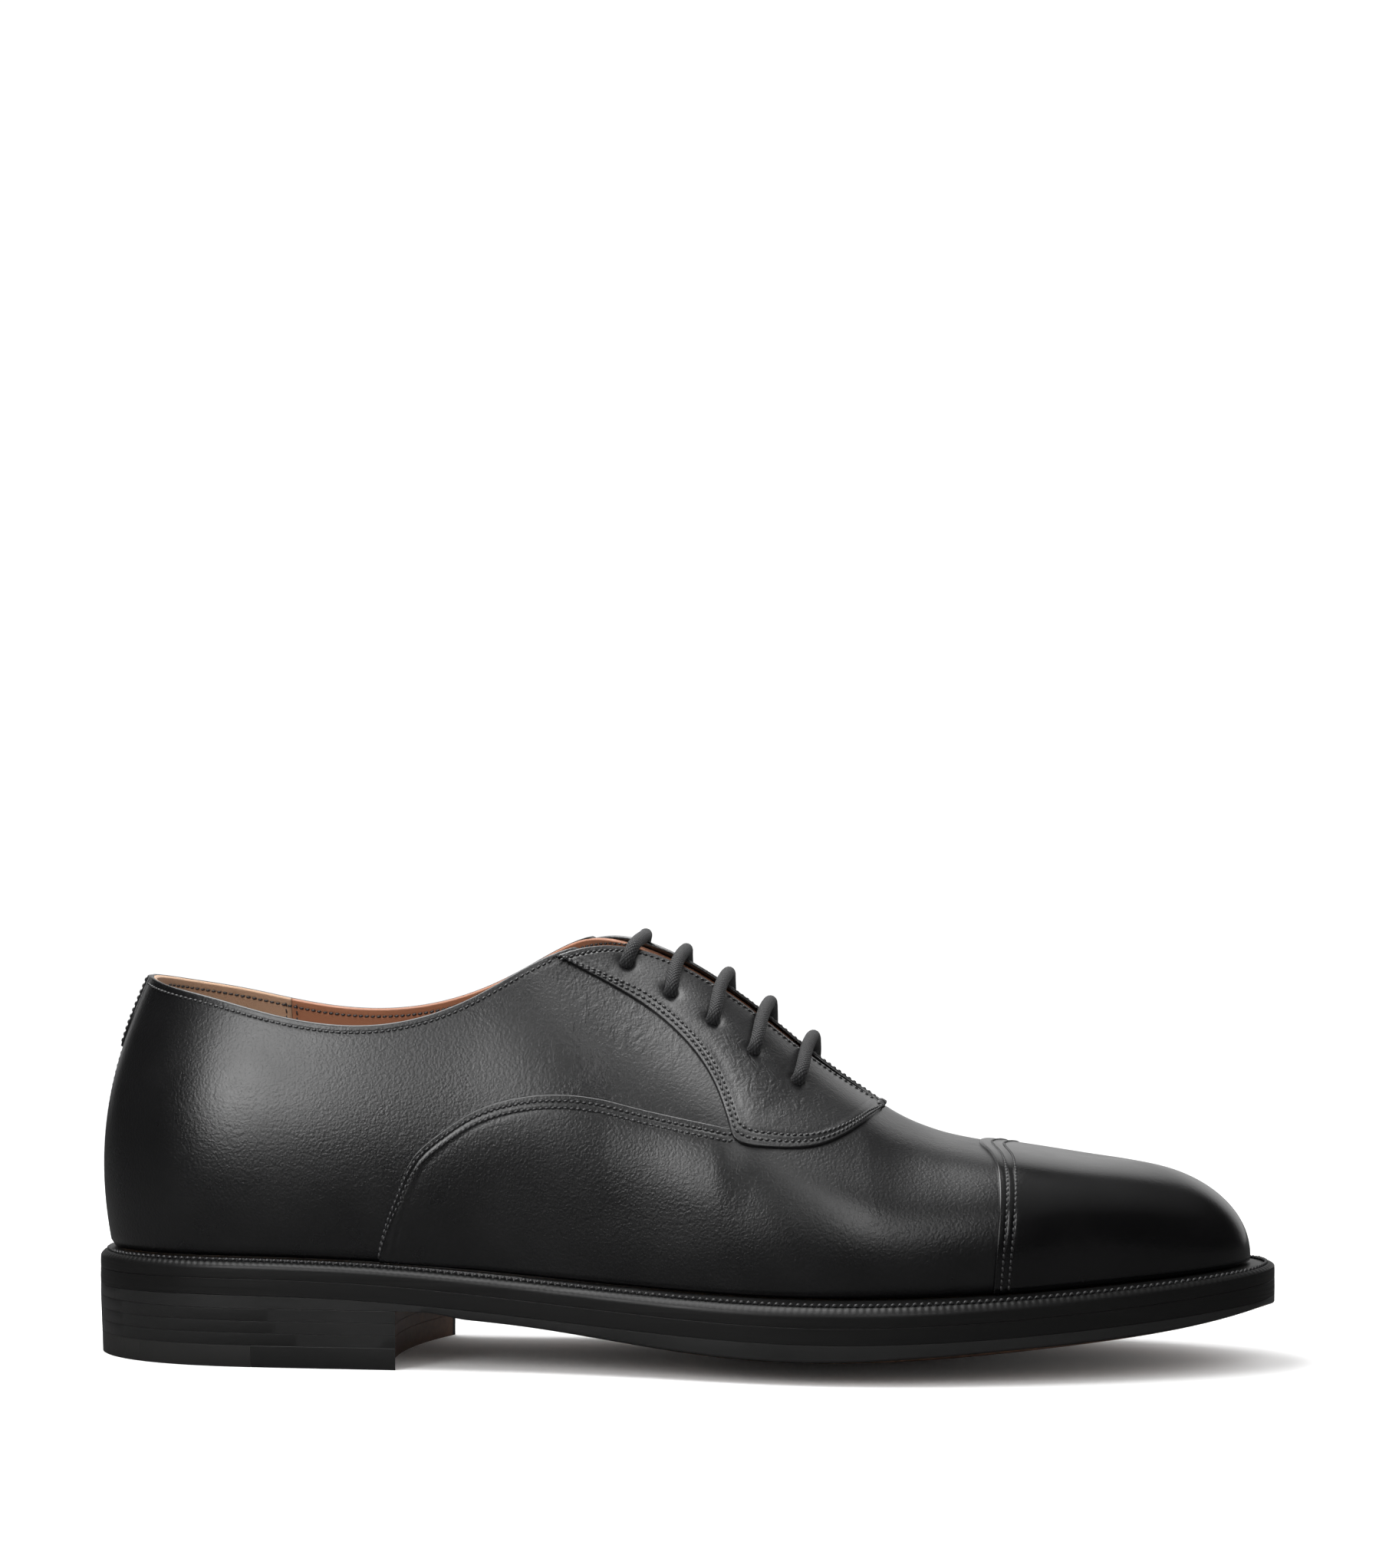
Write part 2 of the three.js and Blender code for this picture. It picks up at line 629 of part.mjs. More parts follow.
// ---- tongue --------------------------------------------------------------------
const tongueLine = cubic([116, 122, 130, 140, 150, 160, 170, 180, 190, 203],
  [101.6, 102.4, 102.2, 99.6, 95.0, 89.2, 82.7, 75.4, 68.2, 60.6]);
const tongueSlope = cubic([116, 140, 150, 160, 170, 180, 190, 203],
  [1.0, 0.92, 0.8, 0.67, 0.54, 0.42, 0.32, 0.22]);
const tongueWidth = cubic([116, 119, 126, 150, 180, 203], [8, 12.5, 15, 15.5, 15, 12.5]);

function tongue() {
  const cols = 12;
  const rows = 8;
  const outer = [];
  const inner = [];
  for (let i = 0; i <= cols; i++) {
    const x = mix(116, 203, i / cols);
    for (let j = 0; j <= rows; j++) {
      const y = mix(-1, 1, j / rows) * tongueWidth(x);
      const z = tongueLine(x) - tongueSlope(x) * (Math.sqrt(y * y + 49) - 7);
      outer.push(new THREE.Vector3(x, y, z));
      inner.push(new THREE.Vector3(x - TONGUE * 0.5, y * 0.97, z - TONGUE * 0.95));
    }
  }
  return thicken(gridQuads(cols, rows), outer, inner);
}

// ---- lining and stiffeners -----------------------------------------------------
const LINING_TOP = -LEATHER - LAYER;
// The lining lies deeper where a stiffener sits between it and the outer leather.
function liningLevel(p) {
  const sunk = Math.max(1 - step(72, 84, p.x), step(238, PUFF_X - 4, p.x));
  const top = LINING_TOP - sunk * (STIFFENER + LAYER);
  return [top - LINING, top];
}

const LINING_SEAM = [[150, 'foot'], [164, 40], [182, 54], [THROAT_X, 'top']];
const GRIP_X = 40;

function quarterLining(side) {
  const rear = (r) => [atX(side, r, GRIP_X + 0.2), r];
  const front = seam(side, LINING_SEAM.map(([x, z]) => [x - 1.5, z]));
  const foot = (c) => [mix(rear(0)[0], front(0)[0], c), 0];
  const crest = (c) => {
    const x = mix(GRIP_X + 0.2, THROAT_X - 1.5, c);
    return [atX(side, 1, x), mix(1, FRONT_EDGE, step(130, 200, x))];
  };
  const stop = (r) => {
    const [t, v] = front(r);
    return [t, Math.min(v, FRONT_EDGE)];
  };
  const geometry = panel(18, 10, coons(foot, crest, rear, stop), liningLevel);
  return side === LATERAL ? geometry : turned(geometry);
}

function vampLining() {
  const seams = new Map(SIDES.map(([side]) => [side, seam(side, LINING_SEAM)]));
  const seamT = (side, v) => {
    let low = 0;
    let high = 1;
    for (let i = 0; i < 24; i++) {
      const mid = (low + high) / 2;
      if (seams.get(side)(mid)[1] < v) low = mid;
      else high = mid;
    }
    const t = seams.get(side)(v > 0.999 ? 1 : high)[0];
    return t + (side === LATERAL ? 0.0006 : -0.0006);
  };
  return saddlePanel(12, 8, nosePlace(seamT), liningLevel);
}

function heelGrip() {
  const start = (v) => atX(MEDIAL, v, GRIP_X - 0.3) - 1;
  const end = (v) => atX(LATERAL, v, GRIP_X - 0.3);
  const place = (a, b) => [mix(start(b), end(b), a), b];
  return panel(14, 7, place, liningLevel);
}

function heelCounter() {
  const start = (v) => atX(MEDIAL, v, mix(70, 52, v / COUNTER_HEIGHT)) - 1;
  const end = (v) => atX(LATERAL, v, mix(70, 52, v / COUNTER_HEIGHT));
  const place = (a, b) => [mix(start(b * COUNTER_HEIGHT), end(b * COUNTER_HEIGHT), a), b * COUNTER_HEIGHT];
  return panel(24, 5, place, () => [LINING_TOP - STIFFENER, LINING_TOP]);
}

function toePuff() {
  const seamT = (side, v) => atX(side, v, PUFF_X);
  return saddlePanel(8, 8, nosePlace(seamT), () => [LINING_TOP - STIFFENER, LINING_TOP]);
}

function backStrip() {
  const place = (a, b) => [mix(-0.0068, 0.0068, a) * mix(0.8, 1, b), mix(0.7, 0.995, b)];
  return panel(3, 5, place, () => [GAP, GAP + 0.8]);
}

// ---- bottom stock --------------------------------------------------------------
// Plan outline of the last's feather edge, moved out by d(x).
function outline(t, d) {
  const row = loop.at(t);
  const out = outward(t);
  return new THREE.Vector2(row[0] + out.x * d(row[0]), row[1] + out.y * d(row[0]));
}

const weltEdge = (x) => weltTop(x) - GAP - weltDrop(x);
const weltBase = (x) => weltEdge(x) - WELT;
const midsoleBase = (x) => weltBase(x) - GAP - MIDSOLE;

// Ring round the shoe; `section(x)` lists its corners as [distance out, height of x].
function ringSolid(count, section) {
  const points = [];
  const faces = [];
  let n = 0;
  for (let i = 0; i < count; i++) {
    const t = i / count;
    const x = loop.at(t)[0];
    const marks = section(x);
    n = marks.length;
    for (const [d, height] of marks) {
      const p = outline(t, () => d);
      points.push(new THREE.Vector3(p.x, p.y, height(p.x)));
    }
  }
  for (let i = 0; i < count; i++) {
    const j = (i + 1) % count;
    for (let k = 0; k < n; k++) {
      const m = (k + 1) % n;
      const [a, b, c, d] = [i * n + k, j * n + k, j * n + m, i * n + m];
      faces.push([a, c, b], [a, d, c]);
    }
  }
  return fromFaces(points, faces);
}

function weltSection(x) {
  const out = edgeOut(x);
  const down = (share, more = 0) => (at) => weltTop(at) - GAP - weltDrop(at) * share - more;
  return [[WELT_INSIDE, down(0)], [0.8, down(0)], [out - 1.9, down(0.45)], [out - 0.4, down(0.85)],
    [out, down(1, 0.5)], [out, weltBase], [WELT_INSIDE, weltBase]];
}

function ribSection() {
  const outer = WELT_INSIDE - LAYER;
  const inner = outer - RIB_WIDTH;
  const top = (x) => weltTop(x) - GAP;
  return [[inner, top], [outer, top], [outer, weltBase], [inner, weltBase]];
}

// Half widths of an outline moved by d, as y on each side at a given x.
function sideAt(d) {
  const tables = SIDES.map(([side]) => {
    const points = [];
    for (let i = 0; i <= 160; i++) {
      const t = side === LATERAL ? mix(0, TIP, i / 160) : mix(1, TIP, i / 160);
      points.push(outline(t, d));
    }
    return points;
  });
  const find = (points, x) => {
    let i = 0;
    while (i < points.length - 2 && points[i + 1].x < x) i++;
    const span = points[i + 1].x - points[i].x;
    const k = Math.min(1, Math.max(0, (x - points[i].x) / (span || 1)));
    return mix(points[i].y, points[i + 1].y, k);
  };
  const from = Math.max(...tables.map((points) => points[0].x));
  const to = Math.min(...tables.map((points) => points[points.length - 1].x));
  return { low: (x) => find(tables[0], x), high: (x) => find(tables[1], x), from, to };
}

// Flat stock cut to an outline: strips across the shoe between x0 and x1.
function plate(cols, rows, shape, x0, x1, top, base) {
  const upper = [];
  const lower = [];
  for (let i = 0; i <= cols; i++) {
    const x = mix(x0, x1, (1 - Math.cos(Math.PI * i / cols)) / 2 * 0.7 + i / cols * 0.3);
    const [low, high] = [shape.low(x), shape.high(x)];
    for (let j = 0; j <= rows; j++) {
      const y = mix(low, high, (1 - Math.cos(Math.PI * j / rows)) / 2);
      upper.push(new THREE.Vector3(x, y, top(x, y)));
      lower.push(new THREE.Vector3(x, y, base(x, y)));
    }
  }
  return thicken(gridQuads(cols, rows), upper, lower);
}

function crowned(shape) {
  return (x, y) => {
    const low = shape.low(x);
    const k = 2 * (y - low) / Math.max(1e-6, shape.high(x) - low) - 1;
    return soleEdge(x) - soleCrown(x) * (1 - Math.abs(k) ** 1.3);
  };
}

function outsole() {
  const shape = sideAt(edgeOut);
  const under = crowned(shape);
  return plate(28, 6, shape, shape.from, shape.to,
    (x) => midsoleBase(x) - GAP,
    (x, y) => mix(HEEL_TOP, under(x, y), step(BREAST_X + 4, BREAST_X + 18, x)));
}

// One layer of the heel: the sole's outline at the back, a hollowed breast in front.
function heelLayer(base, top, from = 0, to = 1) {
  const taper = (z) => -0.6 * (1 - z / HEEL_TOP);
  const shape = sideAt((x) => edgeOut(x) + taper((base + top) / 2));
  const cols = 12;
  const rows = 6;
  const upper = [];
  const lower = [];
  for (let i = 0; i <= cols; i++) {
    const c = mix(from, to, i / cols);
    const x = mix(shape.from, BREAST_X, (1 - Math.cos(Math.PI / 2 * c)));
    const [low, high] = [shape.low(x), shape.high(x)];
    for (let j = 0; j <= rows; j++) {
      const k = j / rows;
      const y = mix(low, high, k);
      const breast = mix(-0.5, 3.5, k) - 6 * (1 - (2 * k - 1) ** 2);
      const px = x + breast * step(30, BREAST_X, x);
      upper.push(new THREE.Vector3(px, y, top));
      lower.push(new THREE.Vector3(px, y, base));
    }
  }
  return thicken(gridQuads(cols, rows), upper, lower);
}

function shank() {
  const half = cubic([46, 60, 80, 100, 116], [5, 7.5, 7, 6.5, 4.5]);
  const upper = [];
  const lower = [];
  const cols = 8;
  for (let i = 0; i <= cols; i++) {
    const x = mix(46, 116, i / cols);
    for (const y of [-half(x), half(x)]) {
      const z = weltTop(x) - GAP - 0.4;
      upper.push(new THREE.Vector3(x, y, z));
      lower.push(new THREE.Vector3(x, y, z - 1.2));
    }
  }
  return thicken(gridQuads(cols, 1), upper, lower);
}

function cork() {
  const inset = WELT_INSIDE - 2 * LAYER - RIB_WIDTH;
  const shape = sideAt(() => inset);
  return plate(12, 2, shape, 120, shape.to, (x) => weltTop(x) - GAP, (x) => weltBase(x));
}

// ---- assembly ------------------------------------------------------------------
for (const [side, name] of SIDES) {
  add(`quarter_${name}`, quarter(side), BLACK_CALF);
  add(`facing_${name}`, cut(facing(side), punches(side)), BLACK_CALF);
  add(`quarter_lining_${name}`, cut(quarterLining(side), punches(side)), TAN_LINING, 0.6);
  eyeletSpots.get(side).forEach((spot, i) => {
    add(`eyelet_${name}_${i + 1}`, eyelet(spot), 0x2a2a2c);
  });
}
add('vamp', vamp(), BLACK_CALF);
add('toe_cap', toeCap(), BLACK_CALF, 0.25);
add('back_strip', backStrip(), BLACK_CALF);
add('tongue', tongue(), BLACK_CALF);
add('lace', lace(), 0x2c2d2f, 0.7);
add('vamp_lining', vampLining(), 0xc9a883, 0.7);
add('heel_grip', heelGrip(), 0xa57d5f, 0.8);
add('heel_counter', heelCounter(), 0x8a6b4a, 0.7);
add('toe_puff', toePuff(), 0x9a8a70, 0.7);

add('welt', ringSolid(72, weltSection), BLACK_EDGE);
add('insole_rib', ringSolid(48, ribSection), 0xcbb48f, 0.8);
const insoleShape = sideAt(() => -4.6);
const insoleBase = (x) => weltTop(x) + GAP / 3;
add('insole', plate(20, 2, insoleShape, insoleShape.from, insoleShape.to,
  (x) => insoleBase(x) + INSOLE, insoleBase), 0xb98b5e, 0.7);
const padShape = sideAt(() => -5.6);
add('heel_pad', plate(10, 2, padShape, padShape.from, 98,
  (x) => insoleBase(x) + INSOLE + GAP + SOCK, (x) => insoleBase(x) + INSOLE + GAP),
TAN_LINING, 0.6);
add('cork_filler', cork(), 0x8f6a44, 0.9);
add('shank', shank(), 0x8f9296, 0.35);
const soleShape = sideAt(edgeOut);
add('midsole', plate(26, 2, soleShape, soleShape.from, soleShape.to,
  (x) => weltBase(x) - GAP, midsoleBase), BLACK_EDGE);
add('outsole', outsole(), SOLE_LEATHER, 0.5);

const liftSpan = (HEEL_TOP - TOP_LIFT - GAP) / HEEL_LIFTS;
for (let i = 0; i < HEEL_LIFTS; i++) {
  const base = TOP_LIFT + GAP + i * liftSpan;
  add(`heel_lift_${i + 1}`, heelLayer(base, base + liftSpan - GAP), SOLE_LEATHER, 0.5);
}
add('top_piece_rubber', heelLayer(0, TOP_LIFT, 0, 0.7), 0x161616, 0.8);
add('top_piece_leather', heelLayer(0, TOP_LIFT, 0.705, 1), SOLE_LEATHER, 0.5);

// Origin at the middle of the bounding box's floor.
const box = new THREE.Box3().setFromObject(shoe);
const middle = box.getCenter(new THREE.Vector3());
for (const mesh of shoe.children) {
  mesh.geometry.translate(-middle.x, -middle.y, -box.min.z);
}

export default shoe;
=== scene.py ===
import math

import bmesh
import bpy
import numpy as np
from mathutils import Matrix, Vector


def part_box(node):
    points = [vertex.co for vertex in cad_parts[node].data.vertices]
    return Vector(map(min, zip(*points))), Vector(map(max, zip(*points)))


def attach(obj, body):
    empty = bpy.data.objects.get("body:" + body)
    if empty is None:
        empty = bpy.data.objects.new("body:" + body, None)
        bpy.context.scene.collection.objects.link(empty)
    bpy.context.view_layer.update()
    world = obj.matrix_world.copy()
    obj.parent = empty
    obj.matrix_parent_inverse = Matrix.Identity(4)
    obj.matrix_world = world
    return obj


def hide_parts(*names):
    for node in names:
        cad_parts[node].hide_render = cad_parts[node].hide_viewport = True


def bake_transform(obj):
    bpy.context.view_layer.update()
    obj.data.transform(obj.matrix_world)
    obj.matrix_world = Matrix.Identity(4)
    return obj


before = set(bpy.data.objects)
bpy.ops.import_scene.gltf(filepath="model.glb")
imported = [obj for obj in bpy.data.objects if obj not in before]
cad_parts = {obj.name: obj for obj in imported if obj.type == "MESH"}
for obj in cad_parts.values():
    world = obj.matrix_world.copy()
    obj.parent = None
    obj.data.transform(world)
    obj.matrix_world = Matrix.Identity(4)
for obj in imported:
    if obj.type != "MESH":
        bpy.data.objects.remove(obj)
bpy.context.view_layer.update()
rng = np.random.default_rng(11)


# ---- Quarters ---------------------------------------------------------------------
# The two back panels of the upper, cut from black box calf about 1 mm thick. They are
# closed behind the heel, run under the vamp and the facings, and are lasted to the welt.

# One line per station of the last, once round from the heel back by the outer side:
# feather x y | top edge x y z | wall lean, reach | top slope, reach.  Millimetres.
STATIONS = np.array([
    (3.1, 0, 13.2, 0, 98.3, 11, 0.42, 66, 0.33),
    (9.5, -17, 19.5, -15, 96.6, 11, 0.42, 68, 0.33),
    (27, -29, 34, -23.8, 93.6, 11, 0.42, 72, 0.33),
    (52, -33, 55, -28.2, 88.6, 10, 0.42, 76, 0.33),
    (80, -34, 80.5, -29.2, 87.3, 9, 0.42, 76, 0.33),
    (106, -35.2, 104, -27, 94.8, 8, 0.40, 72, 0.33),
    (129, -37.5, 124, -20.5, 105.6, 7, 0.40, 60, 0.33),
    (152, -42, 145, -7.2, 105.6, 7, 0.40, 34, 0.30),
    (176, -47.5, 171, -4.6, 91.4, 8, 0.42, 22, 0.34),
    (200, -49.5, 194, -3.2, 73.2, 9, 0.44, 12, 0.40),
    (222, -47, 214, 0, 60.8, 9, 0.46, 0, 0.50),
    (244, -41.5, 234, 0, 55.3, 9, 0.52, 0, 0.60),
    (266, -33, 252, 0, 52.7, 9, 0.54, 0, 0.62),
    (285, -22, 264, 0, 51.7, 8, 0.50, 0, 0.45),
    (296.5, -10, 269.5, 0, 51.2, 6, 0.46, 0, 0.31),
    (300, 1.5, 271, 0, 51.0, 4, 0.42, 0, 0.29),
    (297.5, 12.5, 269.5, 0, 51.2, 6, 0.46, 0, 0.31),
    (287, 24, 264, 0, 51.7, 8, 0.50, 0, 0.45),
    (269, 34, 252, 0, 52.7, 9, 0.54, 0, 0.62),
    (248, 41, 234, 0, 55.3, 9, 0.52, 0, 0.60),
    (225, 44, 214, 0, 60.8, 9, 0.46, 0, 0.50),
    (201, 43, 194, 3.2, 73.2, 10, 0.44, 12, 0.40),
    (176, 37, 171, 4.6, 92, 12, 0.42, 22, 0.34),
    (151, 31.5, 145, 7.2, 107, 12, 0.40, 34, 0.30),
    (127, 29, 124, 20.5, 107.2, 10, 0.40, 60, 0.33),
    (104, 29, 104, 27, 97, 9, 0.40, 72, 0.33),
    (79, 30.5, 80.5, 29.2, 89.2, 9, 0.42, 76, 0.33),
    (52, 31, 55, 28.2, 89.2, 10, 0.42, 76, 0.33),
    (27, 28, 34, 23.8, 93.6, 11, 0.42, 72, 0.33),
    (9.5, 16.5, 19.5, 15, 96.6, 11, 0.42, 68, 0.33),
], float)
LATERAL, MEDIAL = -1, 1
SIDES = ((LATERAL, "lateral"), (MEDIAL, "medial"))


def ease(low, high, x):
    k = np.clip((np.asarray(x, float) - low) / (high - low), 0, 1)
    return k * k * (3 - 2 * k)


def rounded(d, radius):
    """0 at a cut edge, rising on a quarter circle to 1 at the radius."""
    return np.sqrt(np.maximum(0, 1 - (1 - np.clip(d / radius, 0, 1)) ** 2))


def groove(d, at, width):
    """1 in the middle of a groove or a mark, at distance `at`, fading to both sides."""
    return np.exp(-((d - at) / width) ** 2)


def spline_value(bend0, bend1, y0, y1, h, u):
    w = h - u
    return ((bend0 * w ** 3 + bend1 * u ** 3) / (6 * h)
            + (y0 / h - bend0 * h / 6) * w + (y1 / h - bend1 * h / 6) * u)


def smooth_line(xs, ys):
    """Natural cubic spline through given points, held level past its ends."""
    xs, ys = np.asarray(xs, float), np.asarray(ys, float)
    n, h = len(xs), np.diff(xs)
    bands, right = np.eye(n), np.zeros(n)
    for i in range(1, n - 1):
        bands[i, i - 1:i + 2] = h[i - 1], 2 * (h[i - 1] + h[i]), h[i]
        right[i] = 6 * ((ys[i + 1] - ys[i]) / h[i] - (ys[i] - ys[i - 1]) / h[i - 1])
    bend = np.linalg.solve(bands, right)

    def at(x):
        x = np.clip(np.asarray(x, float), xs[0], xs[-1])
        i = np.clip(np.searchsorted(xs, x, side="right") - 1, 0, n - 2)
        return spline_value(bend[i], bend[i + 1], ys[i], ys[i + 1], h[i], x - xs[i])
    return at


def closed_line(rows):
    """Closed cubic spline through table rows, parameter 0 to 1 round the loop."""
    n = len(rows)
    side = np.linalg.norm(np.roll(rows, -1, 0)[:, :2] - rows[:, :2], axis=1)
    h = side / side.sum()
    knots = np.concatenate([[0], np.cumsum(h)[:-1]])
    bands, right = np.zeros((n, n)), np.zeros_like(rows)
    for i in range(n):
        p, q = (i - 1) % n, (i + 1) % n
        bands[i, p] += h[p]
        bands[i, i] += 2 * (h[p] + h[i])
        bands[i, q] += h[i]
        right[i] = 6 * ((rows[q] - rows[i]) / h[i] - (rows[i] - rows[p]) / h[p])
    bend = np.linalg.solve(bands, right)

    def at(t):
        t = np.asarray(t, float) % 1.0
        i = np.clip(np.searchsorted(knots, t, side="right") - 1, 0, n - 1)
        j = (i + 1) % n
        return spline_value(bend[i], bend[j], rows[i], rows[j], h[i][..., None],
                            (t - knots[i])[..., None])
    return at, knots


station, station_knots = closed_line(STATIONS)
TIP = station_knots[15]
welt_top = smooth_line([0, 80, 130, 195, 250, 307], [27.4, 26.8, 23.2, 20.8, 22.6, 26.4])
ridge = smooth_line([200, 206, 212, 219, 228, 240, 254, 271, 280],
                    [69.0, 64.9, 61.6, 58.6, 56.3, 54.4, 52.9, 51.3, 50.2])


def ridge_slope(x):
    return ridge(x + 0.5) - ridge(x - 0.5)


def unit(v):
    return v / np.maximum(np.linalg.norm(v, axis=-1, keepdims=True), 1e-12)


def outward(t):
    move = station(t + 1e-3) - station(t - 1e-3)
    return unit(np.stack([move[..., 1], -move[..., 0], 0 * move[..., 0]], -1))


def top_edge(row):
    opening = 1 - ease(198, 207, row[..., 2])
    z = ridge(row[..., 2]) * (1 - opening) + row[..., 4] * opening
    return np.stack([row[..., 2], row[..., 3] * opening, z], -1)


def last_point(t, v):
    """A point of the last: t round the shoe from the back seam, v from feather to top."""
    t, v = np.broadcast_arrays(np.asarray(t, float), np.asarray(v, float))
    row = station(t)
    foot = np.stack([row[..., 0], row[..., 1], welt_top(row[..., 0])], -1)
    top = top_edge(row)
    out = outward(t)
    chord = np.linalg.norm(top - foot, axis=-1)[..., None]
    lean, slope = np.radians(row[..., 5]), np.radians(row[..., 7])
    wall = out * np.sin(lean)[..., None]
    wall[..., 2] = np.cos(lean)
    across = foot - top
    across[..., 2] = 0
    upright = np.clip((np.sin(slope) - 0.75) / 0.2, 0, 1)[..., None]
    roof = unit(unit(across) * (1 - upright) + out * upright) * np.cos(slope)[..., None]
    roof[..., 2] = (-np.sin(slope)
                    + ridge_slope(top[..., 0]) * roof[..., 0] * ease(198, 212, top[..., 0]))
    p1 = foot + wall * (row[..., 6:7] * chord)
    p2 = top + roof * (row[..., 8:9] * chord)
    v = v[..., None]
    w = 1 - v
    return foot * w ** 3 + p1 * 3 * v * w * w + p2 * 3 * v * v * w + top * v ** 3


def last_normal(t, v):
    e = 1e-3
    v = np.asarray(v, float)
    v_round = np.minimum(v, 0.97)
    along = last_point(t + e, v_round) - last_point(t - e, v_round)
    up = last_point(t, np.minimum(1, v + e)) - last_point(t, np.maximum(0, v - e))
    return unit(np.cross(along, up))


def skin(t, v, d):
    """The last moved out by d; on the closed middle line both sides agree."""
    t, v, d = np.broadcast_arrays(np.asarray(t, float), np.asarray(v, float),
                                  np.asarray(d, float))
    p = last_point(t, v) + last_normal(t, v) * d[..., None]
    top = top_edge(station(t))
    m = ridge_slope(top[..., 0])
    scale = d / np.hypot(1, m)
    crest = np.stack([top[..., 0] - m * scale, 0 * m, ridge(top[..., 0]) + scale], -1)
    shut = ((v > 0.9999) & (top[..., 0] > 205.4))[..., None]
    return np.where(shut, crest, p)


def crossing(gap, low, high, steps=11):
    """Where gap, which rises from low to high, passes zero (false position, Illinois rule)."""
    at_low, at_high, last = gap(low), gap(high), np.zeros(low.shape)
    for _ in range(steps):
        share = np.clip(at_high / np.maximum(at_high - at_low, 1e-12), 0, 1)
        mid = high - share * (high - low)
        at_mid = gap(mid)
        short = at_mid < 0
        at_high = np.where(short & (last > 0), at_high / 2, at_high)
        at_low = np.where(~short & (last < 0), at_low / 2, at_low)
        low, at_low = np.where(short, mid, low), np.where(short, at_mid, at_low)
        high, at_high = np.where(short, high, mid), np.where(short, at_high, at_mid)
        last = np.where(short, 1, -1)
    return mid


def at_x(side, v, x):
    """Loop parameter on one side where the rib at height v has the given x."""
    v, x = np.broadcast_arrays(np.asarray(v, float), np.asarray(x, float))
    start = np.full(v.shape, 0.0 if side == LATERAL else 1.0)
    return crossing(lambda t: last_point(t, v)[..., 0] - x, start, np.full(v.shape, TIP))


def at_side(side, x, z):
    """(t, v) of the points that a side view shows at x, z."""
    x, z = np.broadcast_arrays(np.asarray(x, float), np.asarray(z, float))
    v = crossing(lambda v: last_point(at_x(side, v, x), v)[..., 2] - z,
                 np.zeros(x.shape), np.ones(x.shape), 10)
    return at_x(side, v, x), v


def seam(side, points):
    """A seam in (t, v) through [x, z] points of the side view; "foot" and "top" are the edges."""
    edge_v = {"foot": 0.0, "top": 1.0}
    inner = [(x, z) for x, z in points if z not in edge_v]
    ts, vs = at_side(side, *np.array(inner, float).T)
    marks = iter(zip(ts, vs))
    marks = np.array([(float(at_x(side, edge_v[z], x)), edge_v[z]) if z in edge_v
                      else next(marks) for x, z in points])
    spots = last_point(marks[:, 0], marks[:, 1])
    stops = np.concatenate([[0], np.cumsum(np.linalg.norm(np.diff(spots, axis=0), axis=1))])
    stops /= stops[-1]
    ts, vs = smooth_line(stops, marks[:, 0]), smooth_line(stops, marks[:, 1])

    def curve(s):
        return np.stack([ts(s), np.clip(vs(s), 0, 1)], -1)
    return curve


def chain(first, second, split):
    def curve(s):
        s = np.asarray(s, float)
        early = (s <= split)[..., None]
        return np.where(early, first(np.clip(s / split, 0, 1)),
                        second(np.clip((s - split) / (1 - split), 0, 1)))
    return curve


def blend_patch(bottom, top, left, right):
    """Blend of four boundary curves in (t, v)."""
    c00, c10, c01, c11 = bottom(0.0), bottom(1.0), top(0.0), top(1.0)

    def place(a, b):
        a, b = np.broadcast_arrays(np.asarray(a, float), np.asarray(b, float))
        flat = bottom(a) * (1 - b)[..., None] + top(a) * b[..., None]
        ends = left(b) * (1 - a)[..., None] + right(b) * a[..., None]
        a, b = a[..., None], b[..., None]
        return flat + ends - ((c00 * (1 - a) + c10 * a) * (1 - b) + (c01 * (1 - a) + c11 * a) * b)
    return place


ARCH = [(79.5, "foot"), (81.4, 36.3), (84.9, 46.2), (89.1, 54.4), (95.5, 60),
        (102.8, 64.8), (117.3, 69.3), (130.7, 69.7), (146.9, 66.5), (162.9, 63.3),
        (169.4, 62)]
ARCH_LIP = [(86, "foot"), (87.3, 35), (90.5, 44), (94.5, 50.5), (100, 55.4),
            (106.5, 59.6), (118, 63.6), (130.7, 64.4), (146, 61.5), (158, 60), (170, 60)]
FACING_REAR = [(122.5, "top"), (137.3, 96.9), (153.8, 86.1), (164.7, 73.6), (169.6, 62.5)]
FACING_LIP = [(127.5, "top"), (141.5, 101), (158, 90), (169, 77), (173, 64), (170, 60)]

# Where the last's frame stands in the part's frame, from the welt that goes round it.
edge_out = smooth_line([0, 60, 120, 190, 260, 300], [3.0, 3.4, 4.2, 6.0, 6.4, 6.2])


def outline(t, d):
    row = station(t)
    return row[..., :2] + outward(t)[..., :2] * np.asarray(d, float)[..., None]


loop_t = np.linspace(0, 1, 2001)
sole_line = outline(loop_t, edge_out(station(loop_t)[..., 0]))
welt_low, welt_high = (np.array(corner) * 1000 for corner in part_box("welt"))
ORIGIN = np.array([*((sole_line.min(0) + sole_line.max(0)) / 2
                     - (welt_low + welt_high)[:2] / 2), 0.0])


def metres(points):
    return (np.asarray(points, float) - ORIGIN) / 1000


WELD = 2e-6        # metres: points of one piece closer than this are the same point
CORNER = math.radians(35)


def grid_faces(cols, rows, start=0, turned=False):
    i, j = np.meshgrid(np.arange(cols - 1), np.arange(rows - 1), indexing="ij")
    a = (start + i * rows + j).ravel()
    quads = np.stack([a, a + rows, a + rows + 1, a + 1], -1)
    return quads[:, ::-1] if turned else quads


